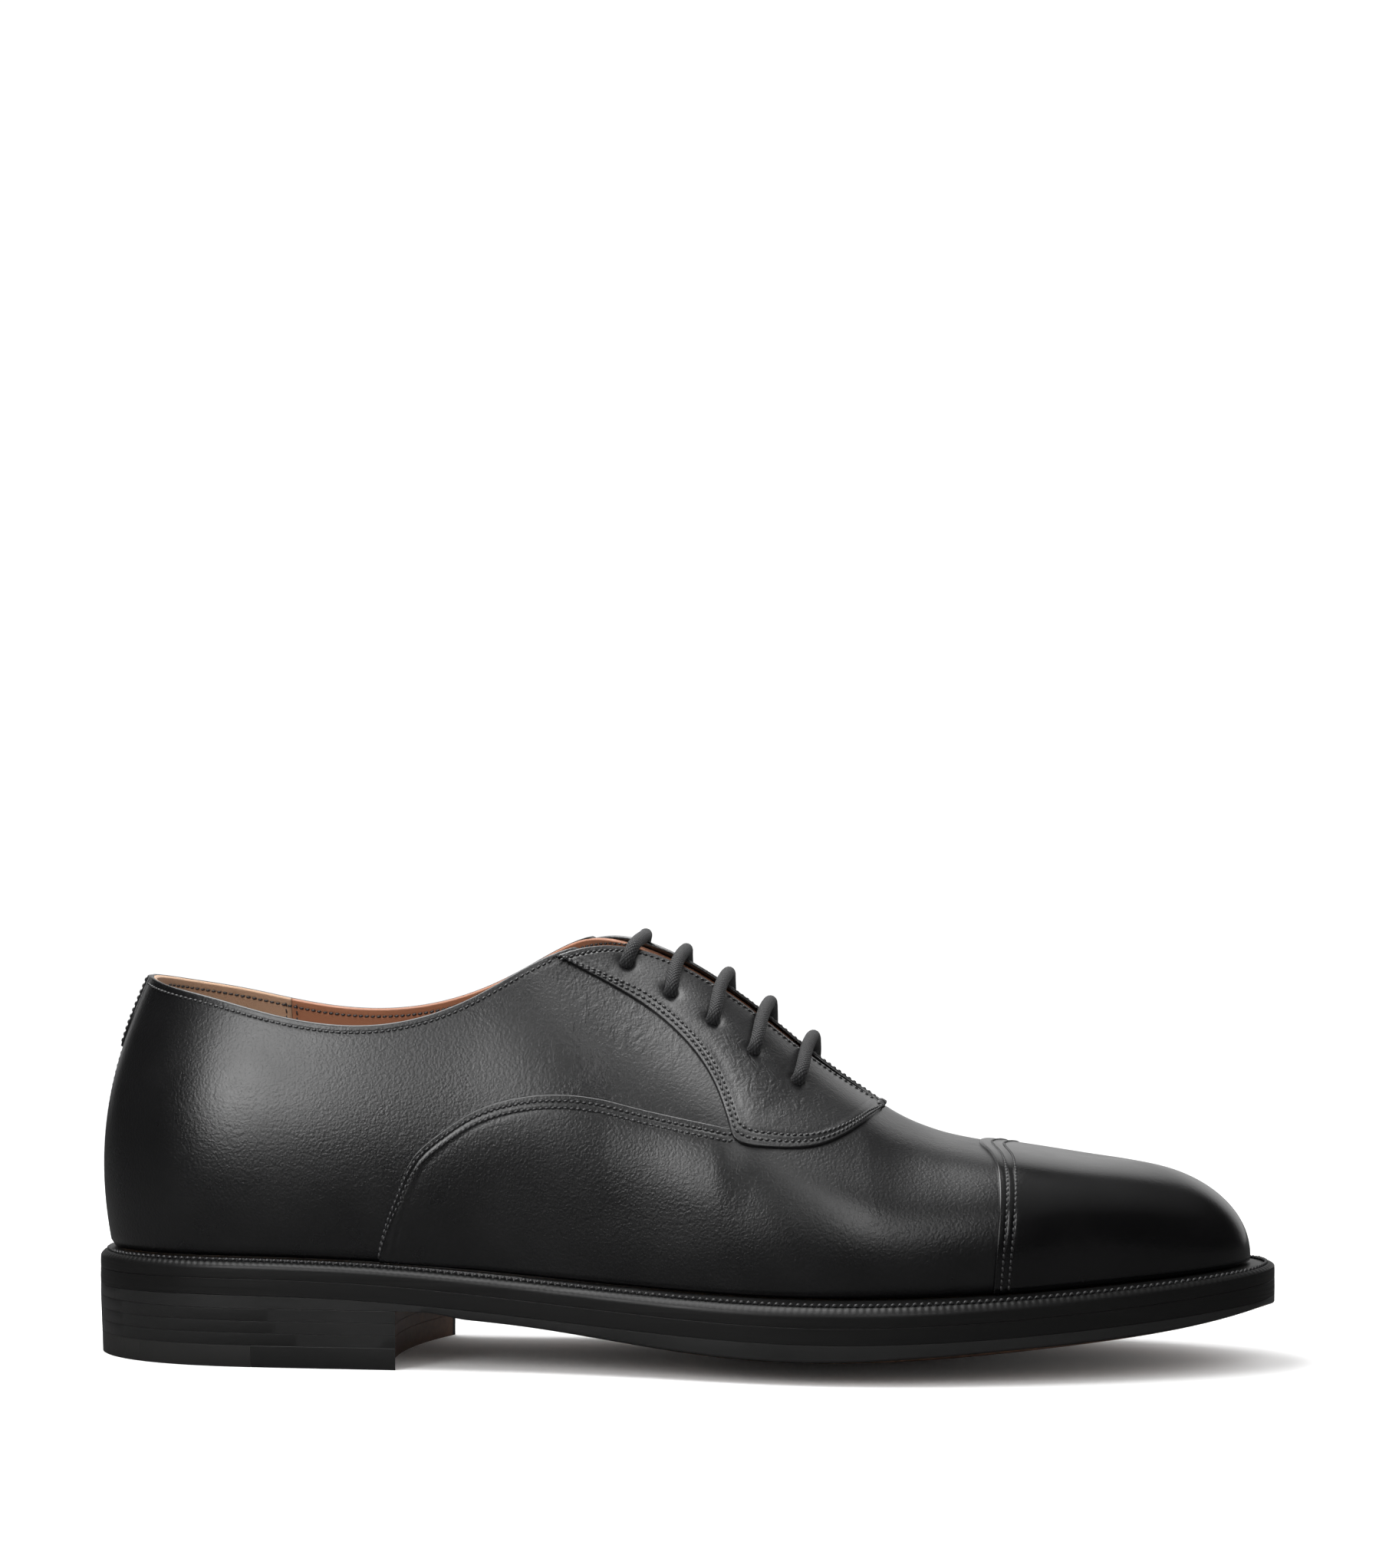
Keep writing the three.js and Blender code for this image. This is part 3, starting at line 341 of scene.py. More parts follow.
def make_piece(name, points, faces, material, body="shoe", weld=0.0, uv=None, crisp=False):
    """A piece of the shoe as a mesh object riding on a body; crisp ones keep sharp corners."""
    mesh = bpy.data.meshes.new(name)
    mesh.from_pydata([tuple(p) for p in points], [], [tuple(int(i) for i in f) for f in faces])
    if uv is not None:
        layer = mesh.uv_layers.new(name="lie")
        index = np.empty(len(mesh.loops), int)
        mesh.loops.foreach_get("vertex_index", index)
        layer.data.foreach_set("uv", np.asarray(uv, float)[index].ravel())
    if weld:
        bm = bmesh.new()
        bm.from_mesh(mesh)
        bmesh.ops.remove_doubles(bm, verts=bm.verts, dist=weld)
        bmesh.ops.dissolve_degenerate(bm, edges=bm.edges, dist=1e-7)
        bm.to_mesh(mesh)
        bm.free()
    mesh.materials.append(material)
    mesh.polygons.foreach_set("use_smooth", [True] * len(mesh.polygons))
    mesh.update()
    if crisp:
        mesh.set_sharp_from_angle(angle=CORNER)
    piece = bpy.data.objects.new(name, mesh)
    bpy.context.collection.objects.link(piece)
    if body:
        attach(piece, body)
    return piece


def leather_sheet(outer, inner, turned=False):
    """Points and faces of a closed sheet over two grids of points (cols, rows, 3)."""
    cols, rows = outer.shape[:2]
    n = cols * rows
    top = grid_faces(cols, rows, 0, turned)
    under = grid_faces(cols, rows, n, not turned)
    grid = np.arange(n).reshape(cols, rows)
    rim = np.concatenate([grid[:-1, 0], grid[-1, :-1], grid[:0:-1, -1], grid[0, :0:-1]])
    after = np.roll(rim, -1)
    walls = np.stack([after, rim, rim + n, after + n], -1)
    if turned:
        walls = walls[:, ::-1]
    return (np.concatenate([outer.reshape(-1, 3), inner.reshape(-1, 3)]),
            np.concatenate([top, under, walls]))


def distance_to(curve, p):
    """Distance of points p from a seam curve, in millimetres."""
    s = curve(np.linspace(0, 1, 260))
    line = last_point(s[:, 0], s[:, 1])
    a, b = line[:-1], line[1:]
    flat = p.reshape(-1, 3)
    best = np.full(len(flat), 1e9)
    for start in range(0, len(flat), 4000):
        q = flat[start:start + 4000, None]
        ab = (b - a)[None]
        k = np.clip(((q - a) * ab).sum(-1) / np.maximum((ab ** 2).sum(-1), 1e-12), 0, 1)
        best[start:start + 4000] = np.sqrt((((q - a - ab * k[..., None]) ** 2).sum(-1)).min(1))
    return best.reshape(p.shape[:-1])


# Rows of points close behind a sewn edge: the cut edge, the rolls and the stitch channels.
EDGE_STEPS = np.array([0, .04, .12, .25, .42, .7, 1.0, 1.35, 1.65, 1.9, 2.15, 2.5, 2.9, 3.3,
                       3.6, 3.85, 4.1, 4.5, 5.2, 6.2, 7.6, 9.4])
STITCH_ROWS = (1.9, 3.85)           # how far behind a lapped edge its two rows are sewn
EDGE_SINK, EDGE_ROLL = 0.25, 0.3


def spaced_rows(place, a, more, from_top=False, steps=EDGE_STEPS):
    """b values for each column so that the rows by the sewn edge keep their distance from it."""
    b = np.linspace(0, 1, 60)
    spots = place(a[:, None], b[None])
    line = last_point(spots[..., 0], spots[..., 1])
    length = np.linalg.norm(np.diff(line, axis=1), axis=-1).sum(1)
    shrink = np.minimum(1, length / 20)
    near = steps[None] * (shrink / np.maximum(length, 1e-6))[:, None]
    near = np.minimum(near, np.linspace(0, 0.6, len(steps))[None] + 0 * near)
    share = np.linspace(0, 1, more + 1)[1:]
    far = near[:, -1:] + (1 - near[:, -1:]) * share[None]
    rows = np.concatenate([near, far], 1)
    return 1 - rows[:, ::-1] if from_top else rows


def cut_edge(d, height):
    """Level over a lapped edge: rounded at the cut, pressed down along two stitch rows."""
    level = height * (1 - ease(5, 30, d)) + 0.05 * groove(d, 2.85, 0.6)
    for row in STITCH_ROWS:
        level = level - 0.11 * groove(d, row, 0.28)
    return -EDGE_SINK + (level + EDGE_SINK) * rounded(d, EDGE_ROLL)


def shader(name, base, rough=0.5, **sockets):
    """A material with one Principled shader; constant values go on its own sockets."""
    material = bpy.data.materials.new(name)
    material.use_nodes = True
    bsdf = material.node_tree.nodes["Principled BSDF"]
    bsdf.inputs["Base Color"].default_value = (*base, 1)
    bsdf.inputs["Roughness"].default_value = rough
    for socket, value in sockets.items():
        bsdf.inputs[socket.replace("_", " ")].default_value = value
    return material, material.node_tree, bsdf


def node(tree, kind, links=(), **values):
    """A node with its settings, and its inputs filled from values or other sockets."""
    made = tree.nodes.new(kind)
    for key, value in values.items():
        setattr(made, key, value)
    for socket, value in dict(links).items():
        target = made.inputs[socket]
        if isinstance(value, bpy.types.NodeSocket):
            tree.links.new(value, target)
        else:
            target.default_value = value
    return made


def maths(tree, operation, *values):
    """The result of one sum on sockets or numbers."""
    return node(tree, "ShaderNodeMath", dict(enumerate(values)), operation=operation).outputs[0]


def place_scaled(tree, x, y, z):
    """The place on the piece, each axis multiplied: by 1000 it is in millimetres."""
    place = tree.nodes.new("ShaderNodeTexCoord").outputs["Object"]
    return node(tree, "ShaderNodeVectorMath", {0: place, 1: (x, y, z)},
                operation="MULTIPLY").outputs[0]


def ranged(tree, value, low, high, to_low=0.0, to_high=1.0, **settings):
    """A value carried over from one range to another."""
    links = {"Value": value, "From Min": low, "From Max": high, "To Min": to_low, "To Max": to_high}
    return node(tree, "ShaderNodeMapRange", links, **settings).outputs[0]


def tinted(tree, factor, base, light):
    """A colour between two others."""
    links = {"Factor": factor, 6: base, 7: light}
    links.update({k: (*c, 1) for k, c in ((6, base), (7, light)) if isinstance(c, tuple)})
    return node(tree, "ShaderNodeMix", links, data_type="RGBA").outputs[2]


def raised(tree, height, depth_mm, strength=1.0, over=None):
    """A surface raised by a height of so many millimetres, on the flat or over other relief."""
    links = {"Strength": strength, "Distance": depth_mm / 1000, "Height": height}
    if over:
        links["Normal"] = over
    return node(tree, "ShaderNodeBump", links).outputs[0]


def finish(tree, bsdf, colour, normal, rough=None):
    """Puts colour, relief and, where it varies, roughness on the shader."""
    tree.links.new(colour, bsdf.inputs["Base Color"])
    tree.links.new(normal, bsdf.inputs["Normal"])
    if rough:
        tree.links.new(rough, bsdf.inputs["Roughness"])


def new_group(name, inputs, outputs):
    group = bpy.data.node_groups.new(name, "ShaderNodeTree")
    for socket, kind, value in inputs:
        made = group.interface.new_socket(socket, in_out="INPUT", socket_type=kind)
        made.default_value = value
    for socket, kind in outputs:
        group.interface.new_socket(socket, in_out="OUTPUT", socket_type=kind)
    return group, group.nodes.new("NodeGroupInput"), group.nodes.new("NodeGroupOutput")


def place_group(tree, group, values):
    made = tree.nodes.new("ShaderNodeGroup")
    made.node_tree = group
    for socket, value in values.items():
        if isinstance(value, bpy.types.NodeSocket):
            tree.links.new(value, made.inputs[socket])
        else:
            made.inputs[socket].default_value = value
    return made


FLOAT, VECTOR = "NodeSocketFloat", "NodeSocketVector"


def build_grain():
    """Leather grain: small irregular pebbles, finer pores and a slow unevenness."""
    group, get, put = new_group("leather grain", [("Pebbles per mm", FLOAT, 1.6)],
                                [("Height", FLOAT), ("Unevenness", FLOAT)])
    mm = place_scaled(group, 1000, 1000, 1000)
    warp = node(group, "ShaderNodeTexNoise", {"Vector": mm, "Scale": 0.9, "Detail": 2.0})
    shift = node(group, "ShaderNodeVectorMath", {0: warp.outputs["Color"], 1: (0.9, 0.9, 0.9)},
                 operation="MULTIPLY").outputs[0]
    bent = node(group, "ShaderNodeVectorMath", {0: mm, 1: shift}, operation="ADD").outputs[0]
    cells = node(group, "ShaderNodeTexVoronoi",
                 {"Vector": bent, "Scale": get.outputs["Pebbles per mm"], "Randomness": 0.95},
                 feature="SMOOTH_F1")
    pores = node(group, "ShaderNodeTexNoise", {"Vector": mm, "Scale": 3.4, "Detail": 3.0,
                                               "Roughness": 0.6})
    broad = node(group, "ShaderNodeTexNoise", {"Vector": mm, "Scale": 0.045, "Detail": 4.0,
                                               "Roughness": 0.55})
    domes = maths(group, "MULTIPLY", cells.outputs["Distance"], -0.9)
    fine = maths(group, "MULTIPLY", pores.outputs["Fac"], 0.45)
    group.links.new(maths(group, "ADD", domes, fine), put.inputs["Height"])
    group.links.new(broad.outputs["Fac"], put.inputs["Unevenness"])
    return group


def build_creases():
    """Fine walking and lasting creases: stretched noise folded into thin valleys."""
    group, get, put = new_group("leather creases",
                                [("Along", VECTOR, (0.34, 0.3, 0.15)), ("Sharpness", FLOAT, 5.0)],
                                [("Height", FLOAT)])
    stretched = node(group, "ShaderNodeVectorMath",
                     {0: place_scaled(group, 1000, 1000, 1000), 1: get.outputs["Along"]},
                     operation="MULTIPLY").outputs[0]
    folds = node(group, "ShaderNodeTexNoise", {"Vector": stretched, "Scale": 1.0, "Detail": 3.0,
                                               "Roughness": 0.5, "Distortion": 0.6})
    fold = maths(group, "ABSOLUTE", maths(group, "SUBTRACT", folds.outputs["Fac"], 0.5))
    sharp = maths(group, "MULTIPLY", fold, get.outputs["Sharpness"])
    group.links.new(maths(group, "MINIMUM", sharp, 1.0), put.inputs["Height"])
    return group


grain_group, crease_group = build_grain(), build_creases()


def near_point(tree, centre, reach):
    """Mask that is 1 at a point of the last's frame and fades out over reach, both in mm."""
    place = tree.nodes.new("ShaderNodeTexCoord").outputs["Object"]
    away = node(tree, "ShaderNodeVectorMath", {0: place, 1: tuple(metres(centre))},
                operation="DISTANCE").outputs["Value"]
    return ranged(tree, away, 0.0, reach / 1000, 1.0, 0.0, interpolation_type="SMOOTHSTEP")


def calf(name, base, light, rough, coat, grain, creases=0.0, centre=(0, 0, 0), reach=40,
         coat_rough=0.24):
    """Polished calf: grain and creases in relief, uneven wax as roughness and a faint greying."""
    material, tree, bsdf = shader(name, base, rough, Coat_Weight=coat, Coat_Roughness=coat_rough,
                                  Specular_IOR_Level=0.5)
    grain_node = place_group(tree, grain_group, {"Pebbles per mm": 1.5})
    uneven = grain_node.outputs["Unevenness"]
    wax = ranged(tree, uneven, 0.3, 0.7, rough - 0.05, rough + 0.06)
    relief = raised(tree, grain_node.outputs["Height"], grain)
    if creases:
        folds = place_group(tree, crease_group, {})
        depth = maths(tree, "MULTIPLY", folds.outputs["Height"], near_point(tree, centre, reach))
        relief = raised(tree, depth, creases, over=relief)
    finish(tree, bsdf, tinted(tree, uneven, base, light), relief, wax)
    return material


quarter_calf = calf("quarter calf", (0.0014, 0.0014, 0.0016), (0.0028, 0.0028, 0.0031), 0.30, 0.3,
                    grain=0.075, creases=0.08, centre=(140, -20, 84), reach=46)


def tucked(v, level):
    """The last half millimetre of the upper turns in under itself on the welt."""
    return level - 0.7 * (1 - np.clip(v / 0.012, 0, 1)) ** 2


TOP_STEPS = np.array([0, .05, .15, .3, .5, .8, 1.2, 1.6, 1.9, 2.15, 2.5, 3.1, 4.2, 6.0])
HEEL_GAP = 0.0003


def quarter(side, name):
    start = HEEL_GAP if side == LATERAL else 1 - HEEL_GAP
    foot_end = float(at_x(side, 0, 86))
    top_end = float(at_x(side, 1, 127.5))
    lip = seam(side, ARCH_LIP)

    def foot(a):
        a = np.asarray(a, float)
        return np.stack([start + (foot_end - start) * a, 0 * a], -1)

    def heel(b):
        b = np.asarray(b, float)
        return np.stack([start + 0 * b, b], -1)

    def topline(a):
        a = np.asarray(a, float)
        return np.stack([start + (top_end - start) * a, 1 + 0 * a], -1)

    place = blend_patch(chain(foot, lip, 0.46), topline, heel, seam(side, FACING_LIP[::-1]))
    a = np.linspace(0, 1, 130) ** 1.05
    b = spaced_rows(place, a, 46, from_top=True, steps=TOP_STEPS)
    spots = place(a[:, None] + 0 * b, b)
    t, v = spots[..., 0], spots[..., 1]
    p = last_point(t, v)
    d = np.linalg.norm(p - last_point(at_x(side, 1, p[..., 0]), 1), axis=-1)
    from_top = np.where(v > 0.9, d, 50)
    level = tucked(v, -0.5 + 0.5 * rounded(from_top, 0.5) - 0.12 * groove(from_top, 1.9, 0.3))
    back = np.abs(((t + 0.5) % 1) - 0.5)
    level = level - 0.22 * groove(back, 0, 0.0011)
    points, faces = leather_sheet(skin(t, v, level), skin(t, v, np.minimum(level - 0.15, -0.9)),
                                  turned=side == MEDIAL)
    piece = make_piece(f"quarter_{name}_leather", metres(points), faces, quarter_calf)
    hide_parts(f"quarter_{name}")


for side, name in SIDES:
    quarter(side, name)


# ---- Vamp -------------------------------------------------------------------------
# The front of the upper, one piece of calf over the instep and ball. Its wings lap over
# the quarters in an arch sewn with two rows; its top runs under the facings.

VAMP_LIP = [(169.4, 62), (174, 63), (181, 63), (189, 63), (196, 63.8), (202, 64.6), (206, "top")]
cap_seam = smooth_line([0, 0.3, 0.6, 0.8, 1, 1.2], [235.5, 236.9, 236, 233.6, 230.6, 233.6])
vamp_foot = smooth_line([0, 0.1, 0.25, 0.5, 0.8, 1], [79.5, 90, 117, 172, 213, 240.5])
arch = {side: seam(side, ARCH) for side, _ in SIDES}
vamp_calf = calf("vamp calf", (0.0013, 0.0013, 0.0015), (0.0026, 0.0026, 0.0029), 0.30, 0.3,
                 grain=0.075, creases=0.05, centre=(196, 0, 62), reach=60)


def stitched_sheet(halves):
    """Both halves of a piece as one set of points and faces, open where they share a rim."""
    points, faces, start = [], [], 0
    for outer, inner, turned, shared in halves:
        made_points, made_faces = leather_sheet(outer, inner, turned)
        if shared is not None:
            both = np.concatenate([shared.ravel(), shared.ravel()])
            n = outer.shape[0] * outer.shape[1]
            wall = (made_faces >= n).sum(1) == 2
            open_side = wall & both[made_faces].all(1)
            made_faces = made_faces[~open_side]
        points.append(made_points)
        faces.append(made_faces + start)
        start += len(made_points)
    return np.concatenate(points), np.concatenate(faces)


def vamp_place(side):
    def crest(a):
        a = np.asarray(a, float)
        return np.stack([at_x(side, 1, 206 + 29.3 * a), 1 + 0 * a], -1)

    def front(b):
        b = np.asarray(b, float)
        return np.stack([at_x(side, b, cap_seam(b) + 5), b], -1)

    def foot(a):
        a = np.asarray(a, float)
        return np.stack([at_x(side, 0, vamp_foot(a)), 0 * a], -1)

    rear = chain(arch[side], seam(side, VAMP_LIP), 0.625)
    corner = foot(0.0)
    return blend_patch(foot, chain(rear, crest, 0.8), lambda b: corner + 0 * front(b), front)


def vamp_level(side, t, v):
    p = last_point(t, v)
    d = distance_to(arch[side], p)
    held = 1 - ease(166, 176, p[..., 0])
    return tucked(v, cut_edge(d, 0.8) * held)


vamp_spot = {side: vamp_place(side) for side, _ in SIDES}
halves = []
a = np.linspace(0, 1, 190)
for side, name in SIDES:
    if side == LATERAL:
        b = spaced_rows(vamp_spot[side], a, 40, from_top=True)
    spots = vamp_spot[side](a[:, None] + 0 * b, b)
    t, v = spots[..., 0], spots[..., 1]
    level = vamp_level(side, t, v)
    shared = (b > 0.99999) & (a[:, None] > 0.8)
    halves.append((skin(t, v, level), skin(t, v, np.minimum(level, 0) - 0.9), side == MEDIAL, shared))
points, faces = stitched_sheet(halves)
vamp = make_piece("vamp_leather", metres(points), faces, vamp_calf, weld=WELD)
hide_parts("vamp")


# ---- Toe cap ----------------------------------------------------------------------
# A cap of the same calf over the front of the vamp, its rear edge raised and sewn with
# two rows, polished with wax and water until it is smoother than the rest.

cap_calf = calf("toe cap calf", (0.0008, 0.0008, 0.0009), (0.0016, 0.0016, 0.0018), 0.22, 0.3,
                grain=0.03, coat_rough=0.16)


def cap_t(side, v):
    return at_x(side, v, cap_seam(v))


def nose_place(start_t):
    """Layer over the front of the last: b up the ribs, a from its rear seam to the tip."""
    def at(side, a, b):
        a, b = np.broadcast_arrays(np.asarray(a, float), np.asarray(b, float))
        t = start_t(side, b) * (1 - a) + TIP * a
        if side == LATERAL:
            return t, b
        straight = start_t(MEDIAL, 1.0) * (1 - a) + TIP * a
        match = last_point(start_t(LATERAL, 1.0) * (1 - a) + TIP * a, 1.0)[..., 0]
        return t + (at_x(MEDIAL, 1.0, match) - straight) * b ** 4, b
    return at


cap_spot = nose_place(cap_t)
cap_line = {side: (lambda s, side=side: np.stack([cap_t(side, s), np.asarray(s, float)], -1))
            for side, _ in SIDES}
up = np.linspace(0, 1, 90)
along = spaced_rows(lambda q, w: np.stack(cap_spot(LATERAL, w, q), -1), up, 46)
halves = []
for side, name in SIDES:
    t, v = cap_spot(side, along, up[:, None] + 0 * along)
    p = last_point(t, v)
    d = np.minimum(distance_to(cap_line[LATERAL], p), distance_to(cap_line[MEDIAL], p))
    level = tucked(v, cut_edge(d, 0.85))
    shared = (v > 0.99999) | (along > 0.99999)
    halves.append((skin(t, v, level), skin(t, v, np.minimum(level, 0) - 0.9), side == LATERAL,
                   shared))
points, faces = stitched_sheet(halves)
toe_cap = make_piece("toe_cap_leather", metres(points), faces, cap_calf, weld=WELD)
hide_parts("toe_cap")


# ---- Facings ----------------------------------------------------------------------
# The two laced panels, cut with a rounded foot that stands over the vamp. Each has five
# blind eyelet holes, two rows round its sewn edge and one row along its front edge.

FACING_FOOT = [(169.6, 62.5), (171.2, 59.2), (174, 57.9), (178.6, 57.4), (185, 57.2),
               (191.8, 57.8), (197.8, 59.9), (202.2, 62.4), (205.8, "top")]
EYELETS = [(140.5, 102.2), (152.2, 94.9), (163.3, 88), (174, 80.6), (185.3, 73.2)]
FRONT_EDGE = 0.985                  # height v at which the facings' front edges run
FACING_TOP_X, FACING_LENGTH = 122.5, 83.3
facing_top = smooth_line([0, 0.25, 0.55, 0.9, 1], [122.5, 143, 176, 201, 205.8])
facing_calf = calf("facing calf", (0.0016, 0.0016, 0.0018), (0.0032, 0.0032, 0.0035), 0.34, 0.65,
                   grain=0.08, creases=0.11, centre=(176, -24, 72), reach=34)
facing_line = {side: chain(seam(side, FACING_REAR), seam(side, FACING_FOOT), 0.6)
               for side, _ in SIDES}
eyelet_spots = {}
for side, name in SIDES:
    marks = np.array(EYELETS) + (0, 1 if side == MEDIAL else 0)
    eyelet_spots[side] = list(zip(*at_side(side, *marks.T)))


def facing_place(side):
    def sewn(a):
        spot = facing_line[side](a)
        return np.stack([spot[..., 0], np.minimum(spot[..., 1], FRONT_EDGE)], -1)

    def front(a):
        return np.stack([at_x(side, 1, facing_top(a)), FRONT_EDGE + 0 * np.asarray(a, float)], -1)

    first, last = sewn(0.0), sewn(1.0)
    return blend_patch(sewn, front, lambda b: first + 0 * sewn(b), lambda b: last + 0 * sewn(b))


def facing_level(side, t, v):
    p = last_point(t, v)
    d = distance_to(facing_line[side], p)
    corner = last_point(*at_side(side, 170.5, 60.0))
    high = 0.8 + 0.75 * groove(np.linalg.norm(p - corner, axis=-1), 0, 9)
    level = cut_edge(d, high)
    front = distance_to(lambda s: np.stack([at_x(side, 1, FACING_TOP_X + FACING_LENGTH * s),
                                            FRONT_EDGE + 0 * s], -1), p)
    level = level - 0.5 * (1 - rounded(front, 0.5)) - 0.13 * groove(front, STITCH_ROWS[0], 0.3)
    for spot in eyelet_spots[side]:
        away = np.linalg.norm(p - last_point(*spot), axis=-1)
        level = level - 0.75 * groove(away, 0, 2.0) - 0.12 * groove(away, 0, 5.0)
    return level


facing_spot = {side: facing_place(side) for side, _ in SIDES}
for side, name in SIDES:
    a = np.linspace(0, 1, 200)
    share = np.concatenate([np.linspace(0, 0.93, 44)[1:], [0.945, 0.955, 0.965, 0.975, 0.983,
                                                           0.99, 0.995, 0.998, 1.0]])
    near = spaced_rows(facing_spot[side], a, 1)[:, :-1]
    b = np.concatenate([near, near[:, -1:] + (1 - near[:, -1:]) * share[None]], 1)
    spots = facing_spot[side](a[:, None] + 0 * b, b)
    t, v = spots[..., 0], spots[..., 1]
    level = facing_level(side, t, v)
    points, faces = leather_sheet(skin(t, v, level), skin(t, v, np.minimum(level - 0.2, -0.7)),
                                  turned=side == MEDIAL)
    piece = make_piece(f"facing_{name}_leather", metres(points), faces, facing_calf, weld=WELD)
    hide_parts(f"facing_{name}")


# ---- Sewing -----------------------------------------------------------------------
# Black waxed thread, about 0.6 mm thick, sewn at about six stitches to the centimetre along
# every lapped edge and just under the topline. Each stitch dips into its hole at both ends.

def build_twist():
    """Twisted thread: slanting plies seen as ridges along each stitch."""
    group, get, put = new_group("thread twist", [("Turns per mm", FLOAT, 2.2)],
                                [("Height", FLOAT), ("Fleck", FLOAT)])
    mm = place_scaled(group, 1000, 1000, 1000)
    wave = node(group, "ShaderNodeTexWave", {"Vector": mm, "Scale": get.outputs["Turns per mm"],
                                             "Distortion": 1.2, "Detail": 1.0},
                bands_direction="DIAGONAL")
    fleck = node(group, "ShaderNodeTexNoise", {"Vector": mm, "Scale": 1.1, "Detail": 2.0})
    group.links.new(wave.outputs["Fac"], put.inputs["Height"])
    group.links.new(fleck.outputs["Fac"], put.inputs["Fleck"])
    return group


def waxed_thread():
    material, tree, bsdf = shader("black waxed thread", (0.008, 0.008, 0.0085), 0.36,
                                  Coat_Weight=0.4, Coat_Roughness=0.3)
    twist = place_group(tree, build_twist(), {})
    finish(tree, bsdf, tinted(tree, twist.outputs["Fleck"], (0.006, 0.006, 0.0065),
                              (0.016, 0.016, 0.017)),
           raised(tree, twist.outputs["Height"], 0.05, strength=0.6))
    return material


thread_black = waxed_thread()


def even_steps(line, normals, pitch):
    """Points at an even pitch along a polyline, with their normals and tangents."""
    run = np.concatenate([[0], np.cumsum(np.linalg.norm(np.diff(line, axis=0), axis=1))])
    count = max(2, int(run[-1] / pitch))
    at = (np.arange(count) + 0.5) * run[-1] / count

    def pick(values, s):
        return np.stack([np.interp(s, run, values[:, k]) for k in range(3)], -1)
    tangent = unit(pick(line, at + 0.2) - pick(line, at - 0.2))
    return pick(line, at), unit(pick(normals, at)), tangent


STITCH_ENDS = np.array([-0.5, -0.42, -0.26, 0, 0.26, 0.42, 0.5])
STITCH_GIRTH = np.array([0.3, 0.72, 0.97, 1.08, 0.97, 0.72, 0.3])
STITCH_LIFT = np.array([-1.1, -0.35, 0.25, 0.45, 0.25, -0.35, -1.1])
STITCH_SIDES = 7


def stitch_row(line, normals, pitch=1.6, thick=0.29, length=0.86, slant=0.16):
    """Separate stitches along a line on the leather, as points and faces."""
    centre, normal, tangent = even_steps(line, normals, pitch)
    across = unit(np.cross(normal, tangent))
    lean = unit(tangent + across * slant)
    across = unit(np.cross(normal, lean))
    angle = np.arange(STITCH_SIDES) / STITCH_SIDES * 2 * np.pi
    ring = len(STITCH_ENDS)
    wobble = 1 + 0.06 * rng.standard_normal(len(centre))
    spots = (centre[:, None, None]
             + lean[:, None, None] * (STITCH_ENDS * pitch * length)[None, :, None, None]
             + normal[:, None, None] * (STITCH_LIFT * thick)[None, :, None, None]
             + (across[:, None, None] * np.cos(angle)[None, None, :, None]
                + normal[:, None, None] * (0.85 * np.sin(angle))[None, None, :, None])
             * (STITCH_GIRTH * thick)[None, :, None, None] * wobble[:, None, None, None])
    faces = []
    for i in range(ring - 1):
        for k in range(STITCH_SIDES):
            a, b = i * STITCH_SIDES + k, i * STITCH_SIDES + (k + 1) % STITCH_SIDES
            faces.append((a, b, b + STITCH_SIDES, a + STITCH_SIDES))
    each = np.arange(len(centre)) * ring * STITCH_SIDES
    return spots.reshape(-1, 3), (np.array(faces)[None] + each[:, None, None]).reshape(-1, 4)


def sew(name, rows, material=thread_black):
    points, faces, start = [], [], 0
    for made_points, made_faces in rows:
        points.append(made_points)
        faces.append(made_faces + start)
        start += len(made_points)
    piece = make_piece(name, metres(np.concatenate(points)), np.concatenate(faces), material)
    return piece


def lap_row(place, level, d, a0, a1, from_top=False):
    """A line d behind a sewn edge, lying on the leather, with its normals."""
    a = np.linspace(a0, a1, 420)
    b = spaced_rows(place, a, 1, from_top, np.array([0, d]))[:, 1]
    spots = place(a, b)
    t, v = spots[:, 0], spots[:, 1]
    return skin(t, v, level(t, v) + 0.07), last_normal(t, v)


rows = []
for side, name in SIDES:
    height = lambda t, v, side=side: vamp_level(side, t, v)
    for d in STITCH_ROWS:
        rows.append(stitch_row(*lap_row(vamp_spot[side], height, d, 0.006, 0.515, True)))
sew("vamp_stitches", rows)

rows = []
for side, name in SIDES:
    height = lambda t, v, side=side: facing_level(side, t, v)
    for d in STITCH_ROWS:
        rows.append(stitch_row(*lap_row(facing_spot[side], height, d, 0.012, 0.985)))
    t = at_x(side, FRONT_EDGE, np.linspace(124, 203, 400))
    near_edge = np.linalg.norm(last_point(t, FRONT_EDGE) - last_point(t, 0.9), axis=-1)
    v = FRONT_EDGE - STITCH_ROWS[0] / near_edge * (FRONT_EDGE - 0.9)
    rows.append(stitch_row(skin(t, v, facing_level(side, t, v) + 0.07), last_normal(t, v)))
sew("facing_stitches", rows)


